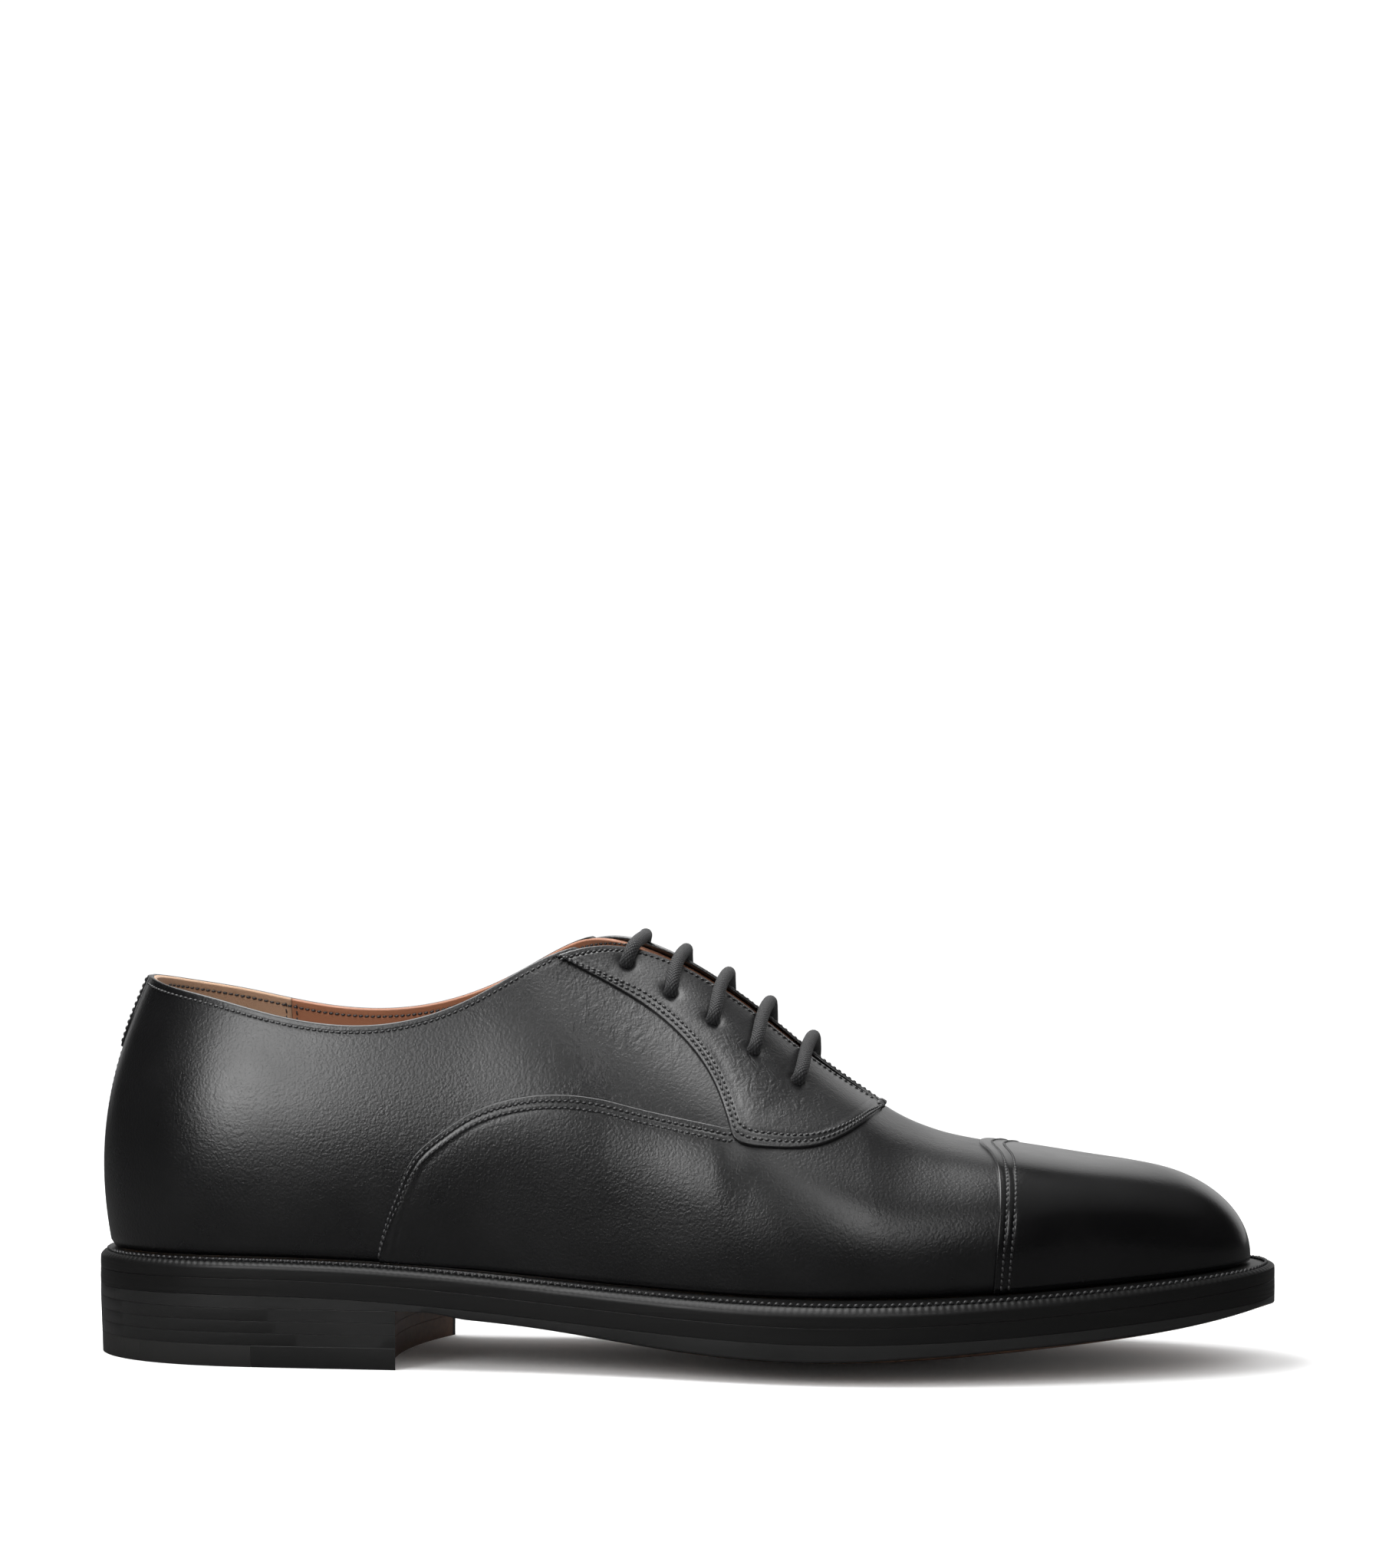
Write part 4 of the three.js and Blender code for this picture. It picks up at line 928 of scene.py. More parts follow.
def throat_tack():
    """A short bar of close stitches that ties the two facings together at the throat."""
    line, normals = [], []
    for side, v in ((LATERAL, np.linspace(0.93, 1, 12)), (MEDIAL, np.linspace(1, 0.93, 12))):
        t = at_x(side, v, 205.0)
        level = facing_level(side, t, np.minimum(v, FRONT_EDGE)) + 0.12
        line.append(skin(t, v, level))
        normals.append(last_normal(t, v))
    return stitch_row(np.concatenate(line), np.concatenate(normals), pitch=0.5, thick=0.3,
                      length=4.4, slant=8)


sew("throat_bar_tack", [throat_tack()])

rows = []
for d in STITCH_ROWS:
    sides = []
    for side, name in SIDES:
        v = np.linspace(0.01, 1, 300)
        a = spaced_rows(lambda q, w: np.stack(cap_spot(LATERAL, w, q), -1), v, 1,
                        steps=np.array([0, d]))[:, 1]
        t, v = cap_spot(side, a, v)
        line, normals = skin(t, v, 0.78), last_normal(t, v)
        sides.append((line, normals) if side == LATERAL else (line[::-1], normals[::-1]))
    rows.append(stitch_row(np.concatenate([sides[0][0], sides[1][0][1:]]),
                           np.concatenate([sides[0][1], sides[1][1][1:]])))
sew("toe_cap_stitches", rows)


def topline_row(side, d, level, x0, x1):
    x = np.linspace(x0, x1, 500)
    t = at_x(side, 1, x)
    top = last_point(t, 1 + 0 * t)
    under = last_point(t, 0.9 + 0 * t)
    v = 1 - 0.1 * d / np.linalg.norm(top - under, axis=-1)
    return skin(t, v, level), last_normal(t, v)


sew("topline_stitches", [stitch_row(*topline_row(side, 2.0, 0.0, 14.5, 122.5)) for side, _ in SIDES])


# ---- Back strip -------------------------------------------------------------------
# A short strip of calf over the top of the back seam, sewn down both sides, with the
# closing seam running on below it.

STRIP_FOOT, STRIP_RISE = 0.70, 0.297


def back_strip():
    a, b = np.linspace(-1, 1, 41), np.linspace(0, 1, 70)
    half = 0.0062 * (0.72 + 0.28 * ease(0.0, 0.5, b))
    v = STRIP_FOOT + STRIP_RISE * b
    t = a[:, None] * (half * (0.55 + 0.45 * rounded(b, 0.05)))[None]
    vv = v[None] + 0 * t
    edge = np.minimum(1 - np.abs(a)[:, None] + 0 * t, np.minimum(b[None], 1 - b[None]) * 8 + 0 * t)
    level = -0.1 + 0.75 * rounded(edge, 0.12) - 0.1 * groove(edge, 0.33, 0.07)
    points, faces = leather_sheet(skin(t, vv, level), skin(t, vv, -0.3 + 0 * level))
    piece = make_piece("back_strip_leather", metres(points), faces, quarter_calf)
    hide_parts("back_strip")
    rows = []
    for sign in (-1, 1):
        s = np.linspace(0.05, 0.97, 120)
        t = sign * 0.62 * np.interp(s, b, half)
        v = STRIP_FOOT + STRIP_RISE * s
        rows.append(stitch_row(skin(t, v, 0.66), last_normal(t, v), pitch=1.7))
    s = np.linspace(0.02, 0.69, 200)
    for sign in (-1, 1):
        t = sign * 0.0021 + 0 * s
        rows.append(stitch_row(skin(t, s, 0.05), last_normal(t, s), pitch=1.7, thick=0.22))
    sew("back_strip_stitches", rows)


back_strip()


# ---- Linings ----------------------------------------------------------------------
# Tan quarter linings, a pale vamp lining and a brushed heel grip, sewn to the upper at the
# topline, where their trimmed edge shows as a thin pale line.

def lining_leather(name, base, light, rough, grain):
    material, tree, bsdf = shader(name, base, rough, Specular_IOR_Level=0.4,
                                  Sheen_Weight=0.15, Sheen_Roughness=0.5)
    grain_node = place_group(tree, grain_group, {"Pebbles per mm": 2.2})
    finish(tree, bsdf, tinted(tree, grain_node.outputs["Unevenness"], base, light),
           raised(tree, grain_node.outputs["Height"], grain))
    return material


tan_lining = lining_leather("tan lining", (0.21, 0.082, 0.04), (0.29, 0.125, 0.065), 0.5, 0.05)
pale_lining = lining_leather("pale vamp lining", (0.50, 0.36, 0.22), (0.58, 0.43, 0.28), 0.6, 0.05)
grip_lining = lining_leather("brushed heel grip", (0.27, 0.165, 0.10), (0.35, 0.225, 0.145), 0.8, 0.1)
GRIP_X = 45
LINING_FACE = -0.95                 # level of the side that lies against the upper
LINING_SEAM = [(148.5, "foot"), (162.5, 40), (180.5, 54), (204.5, "top")]


def lining_sheet(name, t, v, material, node_name, turned=False):
    p = last_point(t, v)
    to_top = np.where(v > 0.85, np.linalg.norm(p - last_point(t, 1.0), axis=-1), 9)
    outer = LINING_FACE + 0 * t
    inner = LINING_FACE - 0.2 - 0.75 * rounded(to_top, 0.35) + 0.1 * groove(to_top, 2.0, 0.3)
    points, faces = leather_sheet(skin(t, v, outer), skin(t, v, inner), turned)
    piece = make_piece(name, metres(points), faces, material)
    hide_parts(node_name)


v_rows = np.concatenate([np.linspace(0, 0.93, 34), 1 - np.array([
    .06, .05, .042, .036, .031, .027, .023, .019, .015, .011, .007, .0045, .003, .0018, .0008, 0])])
for side, name in SIDES:
    front = seam(side, LINING_SEAM)
    rear_t = at_x(side, v_rows, GRIP_X + 0.15)
    curve = front(np.linspace(0, 1, 400))
    order = np.argsort(curve[:, 1])
    front_t = np.interp(v_rows, curve[order, 1], curve[order, 0])
    k = np.linspace(0, 1, 120)[:, None]
    t = rear_t[None] * (1 - k) + front_t[None] * k
    v = v_rows[None] + 0 * t
    stop = 1 - 0.045 * ease(122, 152, last_point(t, v)[..., 0])
    lining_sheet(f"quarter_lining_{name}_leather", t, np.minimum(v, stop), tan_lining,
                 f"quarter_lining_{name}", side == MEDIAL)
start_t = at_x(MEDIAL, v_rows, GRIP_X) - 1
end_t = at_x(LATERAL, v_rows, GRIP_X)
k = np.linspace(0, 1, 110)[:, None]
t = start_t[None] * (1 - k) + end_t[None] * k
lining_sheet("heel_grip_leather", t, v_rows[None] + 0 * t, grip_lining, "heel_grip")

lining_tables = {}
for side, name in SIDES:
    front = seam(side, [(x + 0.3, z) for x, z in LINING_SEAM[:-1]] + [(206, "top")])
    curve = front(np.linspace(0, 1, 400))
    order = np.argsort(curve[:, 1])
    lining_tables[side] = curve[order, 1], curve[order, 0]


def lining_t(side, v):
    return np.interp(v, *lining_tables[side])


halves = []
lining_spot = nose_place(lining_t)
for side, name in SIDES:
    up, along = np.meshgrid(np.linspace(0, 1, 50), np.linspace(0, 1, 90), indexing="ij")
    t, v = lining_spot(side, along, up)
    shared = (v > 0.99999) | (along > 0.99999)
    halves.append((skin(t, v, -1.0 + 0 * t), skin(t, v, -1.8 + 0 * t), side == LATERAL, shared))
points, faces = stitched_sheet(halves)
piece = make_piece("vamp_lining_leather", metres(points), faces, pale_lining, weld=WELD)
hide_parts("vamp_lining")

rows = []
for side, name in SIDES:
    line, normals = topline_row(side, 2.0, -1.88, 15, 138)
    rows.append(stitch_row(line, -normals))
    v = np.linspace(0.02, 0.985, 200)
    for step in (-1.4, 1.4):
        t = at_x(side, v, GRIP_X + step)
        rows.append(stitch_row(skin(t, v, -1.9), -last_normal(t, v), pitch=1.8, thick=0.2))
sew("lining_stitches", rows)


# ---- Tongue -----------------------------------------------------------------------
# A soft calf tongue lined with leather, sewn in under the throat of the vamp.

TONGUE_END = 116
tongue_line = smooth_line([116, 122, 130, 140, 150, 160, 170, 180, 190, 203],
                          [101.6, 102.4, 102.2, 99.6, 95.0, 89.2, 82.7, 75.4, 68.2, 60.6])
tongue_slope = smooth_line([116, 140, 150, 160, 170, 180, 190, 203],
                           [1.0, 0.92, 0.8, 0.67, 0.54, 0.42, 0.32, 0.22])
tongue_width = smooth_line([116, 119, 126, 150, 180, 203], [8, 12.5, 15, 15.5, 15, 12.5])


def tongue():
    i, j = np.meshgrid(np.linspace(0, 1, 110), np.linspace(-1, 1, 61), indexing="ij")
    x = TONGUE_END + 90 * i ** 1.1
    end = 1 - np.clip((x - TONGUE_END + 0.1) / 7, 0, 1)
    width = tongue_width(x) * np.sqrt(np.maximum(0.0, 1 - end ** 2.2))
    y = np.sin(j * np.pi / 2 * 0.999) * width
    z = tongue_line(x) - tongue_slope(x) * (np.sqrt(y * y + 49) - 7)
    z = z - np.clip(x - 203, 0, 9) * 0.62
    edge = np.minimum((1 - np.abs(j)) * width, (x - TONGUE_END) * 1.2)
    swell = rounded(edge, 1.1)
    channel = 0.16 * groove(edge, 2.2, 0.35)
    top = np.stack([x, y, z - 0.75 + 0.75 * swell - channel], -1)
    under = np.stack([x, y, z - 0.75 - 0.75 * swell], -1)
    points, faces = leather_sheet(top, under)
    leather = calf("tongue calf", (0.004, 0.004, 0.0043), (0.0075, 0.0075, 0.008), 0.42, 0.15,
                   grain=0.07, creases=0.2, centre=(160, 0, 88), reach=70)
    piece = make_piece("tongue_leather", metres(points), faces, leather, body=None)
    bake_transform(piece)
    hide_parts("tongue")


tongue()


# ---- Lace -------------------------------------------------------------------------
# One round waxed cotton lace, braided over a core. It goes straight across between the
# eyelets, runs down behind the facings, and its ends are tucked beside the tongue.

LACE_RADIUS = 1.72
LACE_INSIDE, LACE_OUTSIDE = -5.6, 2.6
TAIL_TOP = [(150, 56, -7), (141, 66, -6.5), (136, 78, -6.5), (135, 90, -6.5)]
TAIL_FOOT = [(186, 62, -6.5), (176, 61, -6.5), (164, 59, -6.5), (152, 53, -6.5)]


# Where a bar bends over the facing's edge and where it crosses the throat, moved forward and up.
LACE_LEAN, LACE_CREST = np.array([1, 0, -0.6]), np.array([4.2, 0, 0.8])


def lace_bar(row, side):
    """Up through one hole, over the throat and down through the hole across from it."""
    one, other = eyelet_spots[side][row], eyelet_spots[-side][row]

    def edge(t, v):
        level = LACE_OUTSIDE + 0.55
        return skin(t, v + (FRONT_EDGE - v) * 0.62, level) + LACE_LEAN
    middle = (last_point(one[0], 1.0) + last_point(other[0], 1.0)) / 2 + LACE_CREST
    under = LACE_INSIDE + 1.2
    return [skin(*one, under), skin(*one, -1.4), skin(*one, 1.6), edge(*one), middle,
            edge(*other), skin(*other, 1.6), skin(*other, -1.4), skin(*other, under)]


def lace_tail(side, marks):
    return [skin(*at_side(side, x, z), d) for x, z, d in marks]


def lace_route():
    route, side = lace_tail(LATERAL, TAIL_TOP), LATERAL
    for row in range(len(EYELETS)):
        route += lace_bar(row, side)
        side = -side
        if row < len(EYELETS) - 1:
            here, there = eyelet_spots[side][row], eyelet_spots[side][row + 1]
            route.append(skin((here[0] + there[0]) / 2, (here[1] + there[1]) / 2, LACE_INSIDE))
    return np.array(route + lace_tail(side, TAIL_FOOT))


def even_curve(points):
    """Centripetal Catmull-Rom curve through the route's points."""
    ends = np.vstack([2 * points[0] - points[1], points, 2 * points[-1] - points[-2]])
    out = []
    for p0, p1, p2, p3 in zip(ends[:-3], ends[1:-2], ends[2:-1], ends[3:]):
        k = [0]
        for q, w in ((p0, p1), (p1, p2), (p2, p3)):
            k.append(k[-1] + max(np.linalg.norm(w - q), 1e-6) ** 0.5)
        for u in np.linspace(k[1], k[2], 24, endpoint=False):
            a1 = (k[1] - u) / (k[1] - k[0]) * p0 + (u - k[0]) / (k[1] - k[0]) * p1
            a2 = (k[2] - u) / (k[2] - k[1]) * p1 + (u - k[1]) / (k[2] - k[1]) * p2
            a3 = (k[3] - u) / (k[3] - k[2]) * p2 + (u - k[2]) / (k[3] - k[2]) * p3
            b1 = (k[2] - u) / (k[2] - k[0]) * a1 + (u - k[0]) / (k[2] - k[0]) * a2
            b2 = (k[3] - u) / (k[3] - k[1]) * a2 + (u - k[1]) / (k[3] - k[1]) * a3
            out.append((k[2] - u) / (k[2] - k[1]) * b1 + (u - k[1]) / (k[2] - k[1]) * b2)
    out.append(points[-1])
    return np.array(out)


def round_cord(line, radius):
    """A tube along a line, with (length, turn) as its UV in millimetres and turns."""
    run = np.concatenate([[0], np.cumsum(np.linalg.norm(np.diff(line, axis=0), axis=1))])
    tangent = unit(np.gradient(line, axis=0))
    normal = unit(np.cross(tangent[0], (0.3, 0.1, 1)))
    frames = []
    for tan in tangent:
        normal = unit(normal - tan * (normal @ tan))
        frames.append(normal)
    normals = np.array(frames)
    across = np.cross(tangent, normals)
    sides = 16
    angle = np.linspace(0, 2 * np.pi, sides + 1)
    spots = line[:, None] + radius * (normals[:, None] * np.cos(angle)[None, :, None]
                                      + across[:, None] * np.sin(angle)[None, :, None])
    uv = np.stack([run[:, None] + 0 * angle[None], angle[None] / (2 * np.pi) + 0 * run[:, None]], -1)
    caps = [list(range(sides))[::-1], [(len(line) - 1) * (sides + 1) + k for k in range(sides)]]
    faces = [list(face) for face in grid_faces(len(line), sides + 1)[:, ::-1]] + caps
    return spots.reshape(-1, 3), faces, uv.reshape(-1, 2)


BRAID_PITCH, BRAID_STRANDS = 1.7, 6      # mm along the lace for one turn; strands each way


def braid_cotton():
    material, tree, bsdf = shader("waxed cotton braid", (0.012, 0.012, 0.013), 0.6,
                                  Sheen_Weight=0.06, Sheen_Roughness=0.4, Specular_IOR_Level=0.35)
    uv = tree.nodes.new("ShaderNodeTexCoord").outputs["UV"]
    split = node(tree, "ShaderNodeSeparateXYZ", {0: uv})
    strands = []
    for sign in (1, -1):
        lead = maths(tree, "MULTIPLY", split.outputs["X"], 2 * math.pi / BRAID_PITCH)
        turn = maths(tree, "MULTIPLY", split.outputs["Y"], sign * 2 * math.pi * BRAID_STRANDS)
        wave = maths(tree, "SINE", maths(tree, "ADD", lead, turn))
        strands.append(maths(tree, "ABSOLUTE", wave))
    weave = maths(tree, "MULTIPLY", *strands)
    grain_node = place_group(tree, grain_group, {"Pebbles per mm": 3.0})
    braid = raised(tree, weave, 0.16)
    # Painted shade: the braid's colour follows the weave, darker where it sinks between the strands and
    # lighter where they cross high.
    finish(tree, bsdf, tinted(tree, weave, (0.0045, 0.0045, 0.005), (0.014, 0.0143, 0.0155)),
           raised(tree, grain_node.outputs["Height"], 0.04, strength=0.5, over=braid))
    return material


lace_line = even_curve(lace_route())
points, faces, uv = round_cord(lace_line, LACE_RADIUS)
lace = make_piece("waxed_lace", metres(points), faces, braid_cotton(), uv=uv)
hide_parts("lace")


# ---- Welt -------------------------------------------------------------------------
# A leather strip stitched to the upper and the insole rib, and through its edge to the
# sole. Its top is bevelled and marked by a fudge wheel, one ridge to each stitch.

WELT_PITCH = 1.8
RING_STEPS = 2160
welt_drop = smooth_line([0, 90, 190, 270, 307], [1.9, 2, 3, 2, 1])
JOIN = 0.3
CLOSE = 0.13       # each layer is pressed this far into the joint below and above it
WELT, MIDSOLE = 3.0, 3.9


def welt_edge(x):
    return welt_top(x) - JOIN - welt_drop(x)


def welt_base(x):
    return welt_edge(x) - WELT


def midsole_base(x):
    return welt_base(x) - JOIN - MIDSOLE


def even_loop(count):
    """Loop parameters at even steps along the sole's edge, and the length run so far."""
    line = outline(loop_t, edge_out(station(loop_t)[..., 0]))
    run = np.concatenate([[0], np.cumsum(np.linalg.norm(np.diff(line, axis=0), axis=1))])
    at = np.arange(count) / count * run[-1]
    return np.interp(at, run, loop_t), at, run[-1]


def ring_piece(name, sections, material):
    """Closed ring of sections: points (count, n, 3) round the shoe."""
    count, n = sections.shape[:2]
    i, k = np.meshgrid(np.arange(count), np.arange(n), indexing="ij")
    j, m = (i + 1) % count, (k + 1) % n
    faces = np.stack([i * n + k, i * n + m, j * n + m, j * n + k], -1).reshape(-1, 4)
    return make_piece(name, metres(sections.reshape(-1, 3)), faces, material, crisp=True)


def edge_profile(t, marks):
    """Points of ring sections from (distance out, height) pairs, each worked out per t."""
    rows = []
    for out, height in marks:
        spot = outline(t, out + 0 * t)
        rows.append(np.concatenate([spot, height(spot[:, 0])[:, None]], -1))
    return np.stack(rows, 1)


def edge_ink():
    """Stained and waxed edge of the soling: black, with fine lines of the trimming cutter."""
    rough = 0.42
    material, tree, bsdf = shader("black edge ink", (0.005, 0.005, 0.0052), rough, Coat_Weight=0.08,
                                  Coat_Roughness=0.25, Specular_IOR_Level=0.3)
    cutter = node(tree, "ShaderNodeTexNoise", {"Vector": place_scaled(tree, 12, 12, 900), "Scale": 1.6,
                                               "Detail": 5.0, "Roughness": 0.65}).outputs["Fac"]
    grain_node = place_group(tree, grain_group, {"Pebbles per mm": 0.7})
    colour = tinted(tree, grain_node.outputs["Unevenness"], (0.0014, 0.0014, 0.0015),
                    (0.0032, 0.0031, 0.003))
    finish(tree, bsdf, colour, raised(tree, cutter, 0.03),
           ranged(tree, cutter, 0.3, 0.7, rough - 0.07, rough + 0.12))
    return material


black_edge = edge_ink()


def welt():
    t, run, total = even_loop(RING_STEPS)
    x = station(t)[:, 0]
    out = edge_out(x)
    pitch = total / round(total / WELT_PITCH)
    wave = 0.5 - 0.5 * np.cos(2 * np.pi * run / pitch)
    ridges = 0.16 * wave

    def down(share, more=0.0):
        return lambda at: welt_top(at) - JOIN - welt_drop(at) * share - more

    marks = [(-5 + 0 * t, down(0)), (0.3 + 0 * t, down(0)), (0.9 + 0 * t, down(0.02)),
             (out * 0.30, down(0.12, 0.05)), (out - 2.3, down(0.28, 0.28)),
             (out - 2.0, lambda at: down(0.36)(at) - 0.05 + ridges * 0.3),
             (out - 1.5, lambda at: down(0.48)(at) + 0.10 + ridges),
             (out - 0.9, lambda at: down(0.66)(at) + 0.14 + ridges),
             (out - 0.35, lambda at: down(0.86)(at) + 0.05 + 0.6 * ridges),
             (out - 0.03, down(1.0, 0.1)), (out, down(1.0, 0.7)),
             (out + 0.03, lambda at: welt_base(at) + 1.2), (out, lambda at: welt_base(at) - CLOSE + 0.07),
             (out - 0.07, lambda at: welt_base(at) - CLOSE), (-5 + 0 * t, lambda at: welt_base(at) - CLOSE)]
    piece = ring_piece("stitched_welt", edge_profile(t, marks), black_edge)
    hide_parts("welt")
    spot = outline(t, out - 2.15)
    line = np.concatenate([spot, (down(0.32)(spot[:, 0]) + 0.16)[:, None]], -1)
    normal = unit(outward(t) * 0.5 + np.array([0, 0, 1.0]))
    line = np.concatenate([line, line[:1]])
    normal = np.concatenate([normal, normal[:1]])
    sew("welt_stitches", [stitch_row(line, normal, pitch=pitch, thick=0.42, length=0.86, slant=0.12)])


welt()


# ---- Midsole and outsole ----------------------------------------------------------
# Two thicknesses of sole leather, cemented and stitched through to the welt. The edge is
# trimmed and inked black, the underside is stained brown with a black rim.

sole_edge = smooth_line([80, 100, 120, 140, 165, 190, 215, 240, 265, 290, 307],
                        [14.7, 13.3, 11.6, 9.2, 6.7, 5.8, 6.9, 8.8, 10.8, 13.8, 17])
sole_crown = smooth_line([80, 100, 120, 140, 165, 190, 215, 240, 265, 290, 307],
                         [0, 0.9, 3, 4.6, 5.7, 5.8, 6.6, 6.3, 5, 3.2, 1.6])
HEEL_TOP, BREAST_X, TOP_PIECE = 15.1, 85, 5.4
WAIST = (BREAST_X + 4, BREAST_X + 18)


def sole_leather(name, base, light, rim=None):
    """Sole leather with long fibres; where the sole's edge is near, it is inked black."""
    material, tree, bsdf = shader(name, base, 0.42, Coat_Weight=0.25, Coat_Roughness=0.25)
    place = tree.nodes.new("ShaderNodeTexCoord").outputs["Object"]
    streaks = node(tree, "ShaderNodeTexNoise", {"Vector": place_scaled(tree, 260, 700, 700), "Scale": 1.0,
                                                "Detail": 6.0, "Roughness": 0.6}).outputs["Fac"]
    broad = node(tree, "ShaderNodeTexNoise", {"Vector": place, "Scale": 28.0,
                                              "Detail": 4.0}).outputs["Fac"]
    shade = ranged(tree, maths(tree, "MULTIPLY", streaks, broad), 0.14, 0.4)
    colour = tinted(tree, shade, base, light)
    if rim:
        colour = tinted(tree, rim(tree), colour, (0.005, 0.005, 0.005))
    finish(tree, bsdf, colour, raised(tree, streaks, 0.06), ranged(tree, broad, 0.35, 0.65, 0.34, 0.5))
    return material


def inked_rim(tree):
    """The ink reaches round the edge onto the underside: black where the rim mark says so."""
    mark = node(tree, "ShaderNodeAttribute", attribute_name="rim")
    return ranged(tree, mark.outputs["Fac"], 0.35, 0.65)


def mark_rim(piece, values):
    layer = piece.data.attributes.new("rim", "FLOAT", "POINT")
    layer.data.foreach_set("value", np.asarray(values, np.float32).ravel())


def midsole_marks(out):
    top = lambda at: welt_base(at) - JOIN + CLOSE
    base = lambda at: midsole_base(at) - CLOSE
    return [(out - 9, top), (out - 0.07, top), (out, lambda at: top(at) - 0.07),
            (out + 0.04, lambda at: (top(at) + base(at)) / 2), (out, lambda at: base(at) + 0.07),
            (out - 0.07, base), (out - 9, base)]


def filled_ring(name, t, marks, material):
    """A plate with a shaped edge: ring sections, closed across the shoe above and below."""
    sections = edge_profile(t, marks)
    count, n = sections.shape[:2]
    i, k = np.meshgrid(np.arange(count), np.arange(n - 1), indexing="ij")
    j = (i + 1) % count
    faces = [list(f) for f in np.stack([i * n + k, j * n + k, j * n + k + 1, i * n + k + 1],
                                       -1).reshape(-1, 4)[:, ::-1]]
    points = [sections.reshape(-1, 3)]
    start = count * n
    for k, turned in ((0, False), (n - 1, True)):
        rim = sections[:, k]
        inner_rings = []
        for share in (0.66, 0.33):
            spot = rim.copy()
            spot[:, 1] = rim[:, 1] * share
            inner_rings.append(spot)
        grid = [np.arange(count) * n + k]
        for ring in inner_rings:
            points.append(ring)
            grid.append(np.arange(count) + start)
            start += count
        middle = rim.copy()
        middle[:, 1] = 0
        points.append(middle)
        grid.append(np.arange(count) + start)
        start += count
        for a, b in zip(grid[:-1], grid[1:]):
            quad = np.stack([a, np.roll(a, -1), np.roll(b, -1), b], -1)
            faces += [list(f) for f in (quad if not turned else quad[:, ::-1])]
    return make_piece(name, metres(np.concatenate(points)), faces, material, weld=WELD, crisp=True)


def midsole():
    t = even_loop(600)[0]
    out = edge_out(station(t)[:, 0])
    piece = filled_ring("midsole_leather", t, midsole_marks(out), black_edge)
    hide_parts("midsole")


midsole()


def side_table(d):
    """y of an outline moved out by d, on each side, as functions of x."""
    tables = []
    for start in (0.0, 1.0):
        t = start + (TIP - start) * np.linspace(0, 1, 500)
        tables.append(outline(t, d(station(t)[:, 0])))
    low, high = tables
    first = max(low[0, 0], high[0, 0])
    last = min(low[-1, 0], high[-1, 0])
    return (lambda x: np.interp(x, low[:, 0], low[:, 1]),
            lambda x: np.interp(x, high[:, 0], high[:, 1]), first, last)


ACROSS = np.concatenate([-1 + np.array([0, .0008, .003, .007, .014, .025, .045, .08]),
                         np.linspace(-0.86, 0.86, 27),
                         1 - np.array([.08, .045, .025, .014, .007, .003, .0008, 0])])


def outsole():
    low, high, first, last = side_table(edge_out)
    reach = (last - first) / 2
    end = np.concatenate([-1 + np.array([0, .0006, .002, .0045, .009, .016, .03, .05]),
                          np.linspace(-0.93, 0.93, 170),
                          1 - np.array([.05, .03, .016, .009, .0045, .002, .0006, 0])])
    x = first + reach * (1 + end)
    x, k = np.meshgrid(x, ACROSS, indexing="ij")
    left, right = low(x), high(x)
    y = left + (right - left) * (k + 1) / 2
    from_side = (1 - np.abs(k)) * (right - left) / 2
    from_end = np.minimum(x - first, last - x)
    edge = np.minimum(from_side, from_end)
    under = sole_edge(x) - sole_crown(x) * (1 - np.abs(k) ** 1.3)
    under = HEEL_TOP * (1 - ease(*WAIST, x)) + under * ease(*WAIST, x)
    channel = 0.12 * groove(edge, 6.0, 0.35) * ease(96, 110, x) * (x < 285)
    top = midsole_base(x) - JOIN + CLOSE
    seat = 1 - ease(*WAIST, x)
    sharp = 1 - np.clip(edge / 0.07, 0, 1)
    upper = np.stack([x, y, top - 0.06 * sharp], -1)
    bevel = seat * (0.06 * sharp - CLOSE) + (1 - seat) * 0.55 * (1 - rounded(edge, 0.7))
    lower = np.stack([x, y, under + bevel + channel], -1)
    points, faces = leather_sheet(upper, lower)
    inked = 1 - ease(1.6, 2.4, edge + 0.25 * np.sin(x * 0.9))
    piece = make_piece("outsole_leather", metres(points), faces,
                       sole_leather("brown sole leather", (0.075, 0.034, 0.018), (0.14, 0.07, 0.037),
                                    inked_rim), crisp=True)
    mark_rim(piece, np.concatenate([np.ones(inked.size), inked.ravel()]))
    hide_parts("outsole")


outsole()


# ---- Heel -------------------------------------------------------------------------
# Three lifts of leather and a top piece, rubber at the back and leather at the breast,
# pegged together. The sides are inked black, the hollowed breast is burnished brown.

HEEL_LIFTS = 3
PIN_SIDES = 14
heel_brown = sole_leather("burnished heel leather", (0.07, 0.033, 0.018), (0.12, 0.06, 0.032),
                          inked_rim)


def top_rubber():
    material, tree, bsdf = shader("moulded rubber", (0.006, 0.006, 0.006), 0.5)
    grain_node = place_group(tree, grain_group, {"Pebbles per mm": 1.1})
    colour = tinted(tree, grain_node.outputs["Unevenness"], (0.005, 0.005, 0.005),
                    (0.011, 0.0105, 0.010))
    finish(tree, bsdf, colour, raised(tree, grain_node.outputs["Height"], 0.04))
    return material


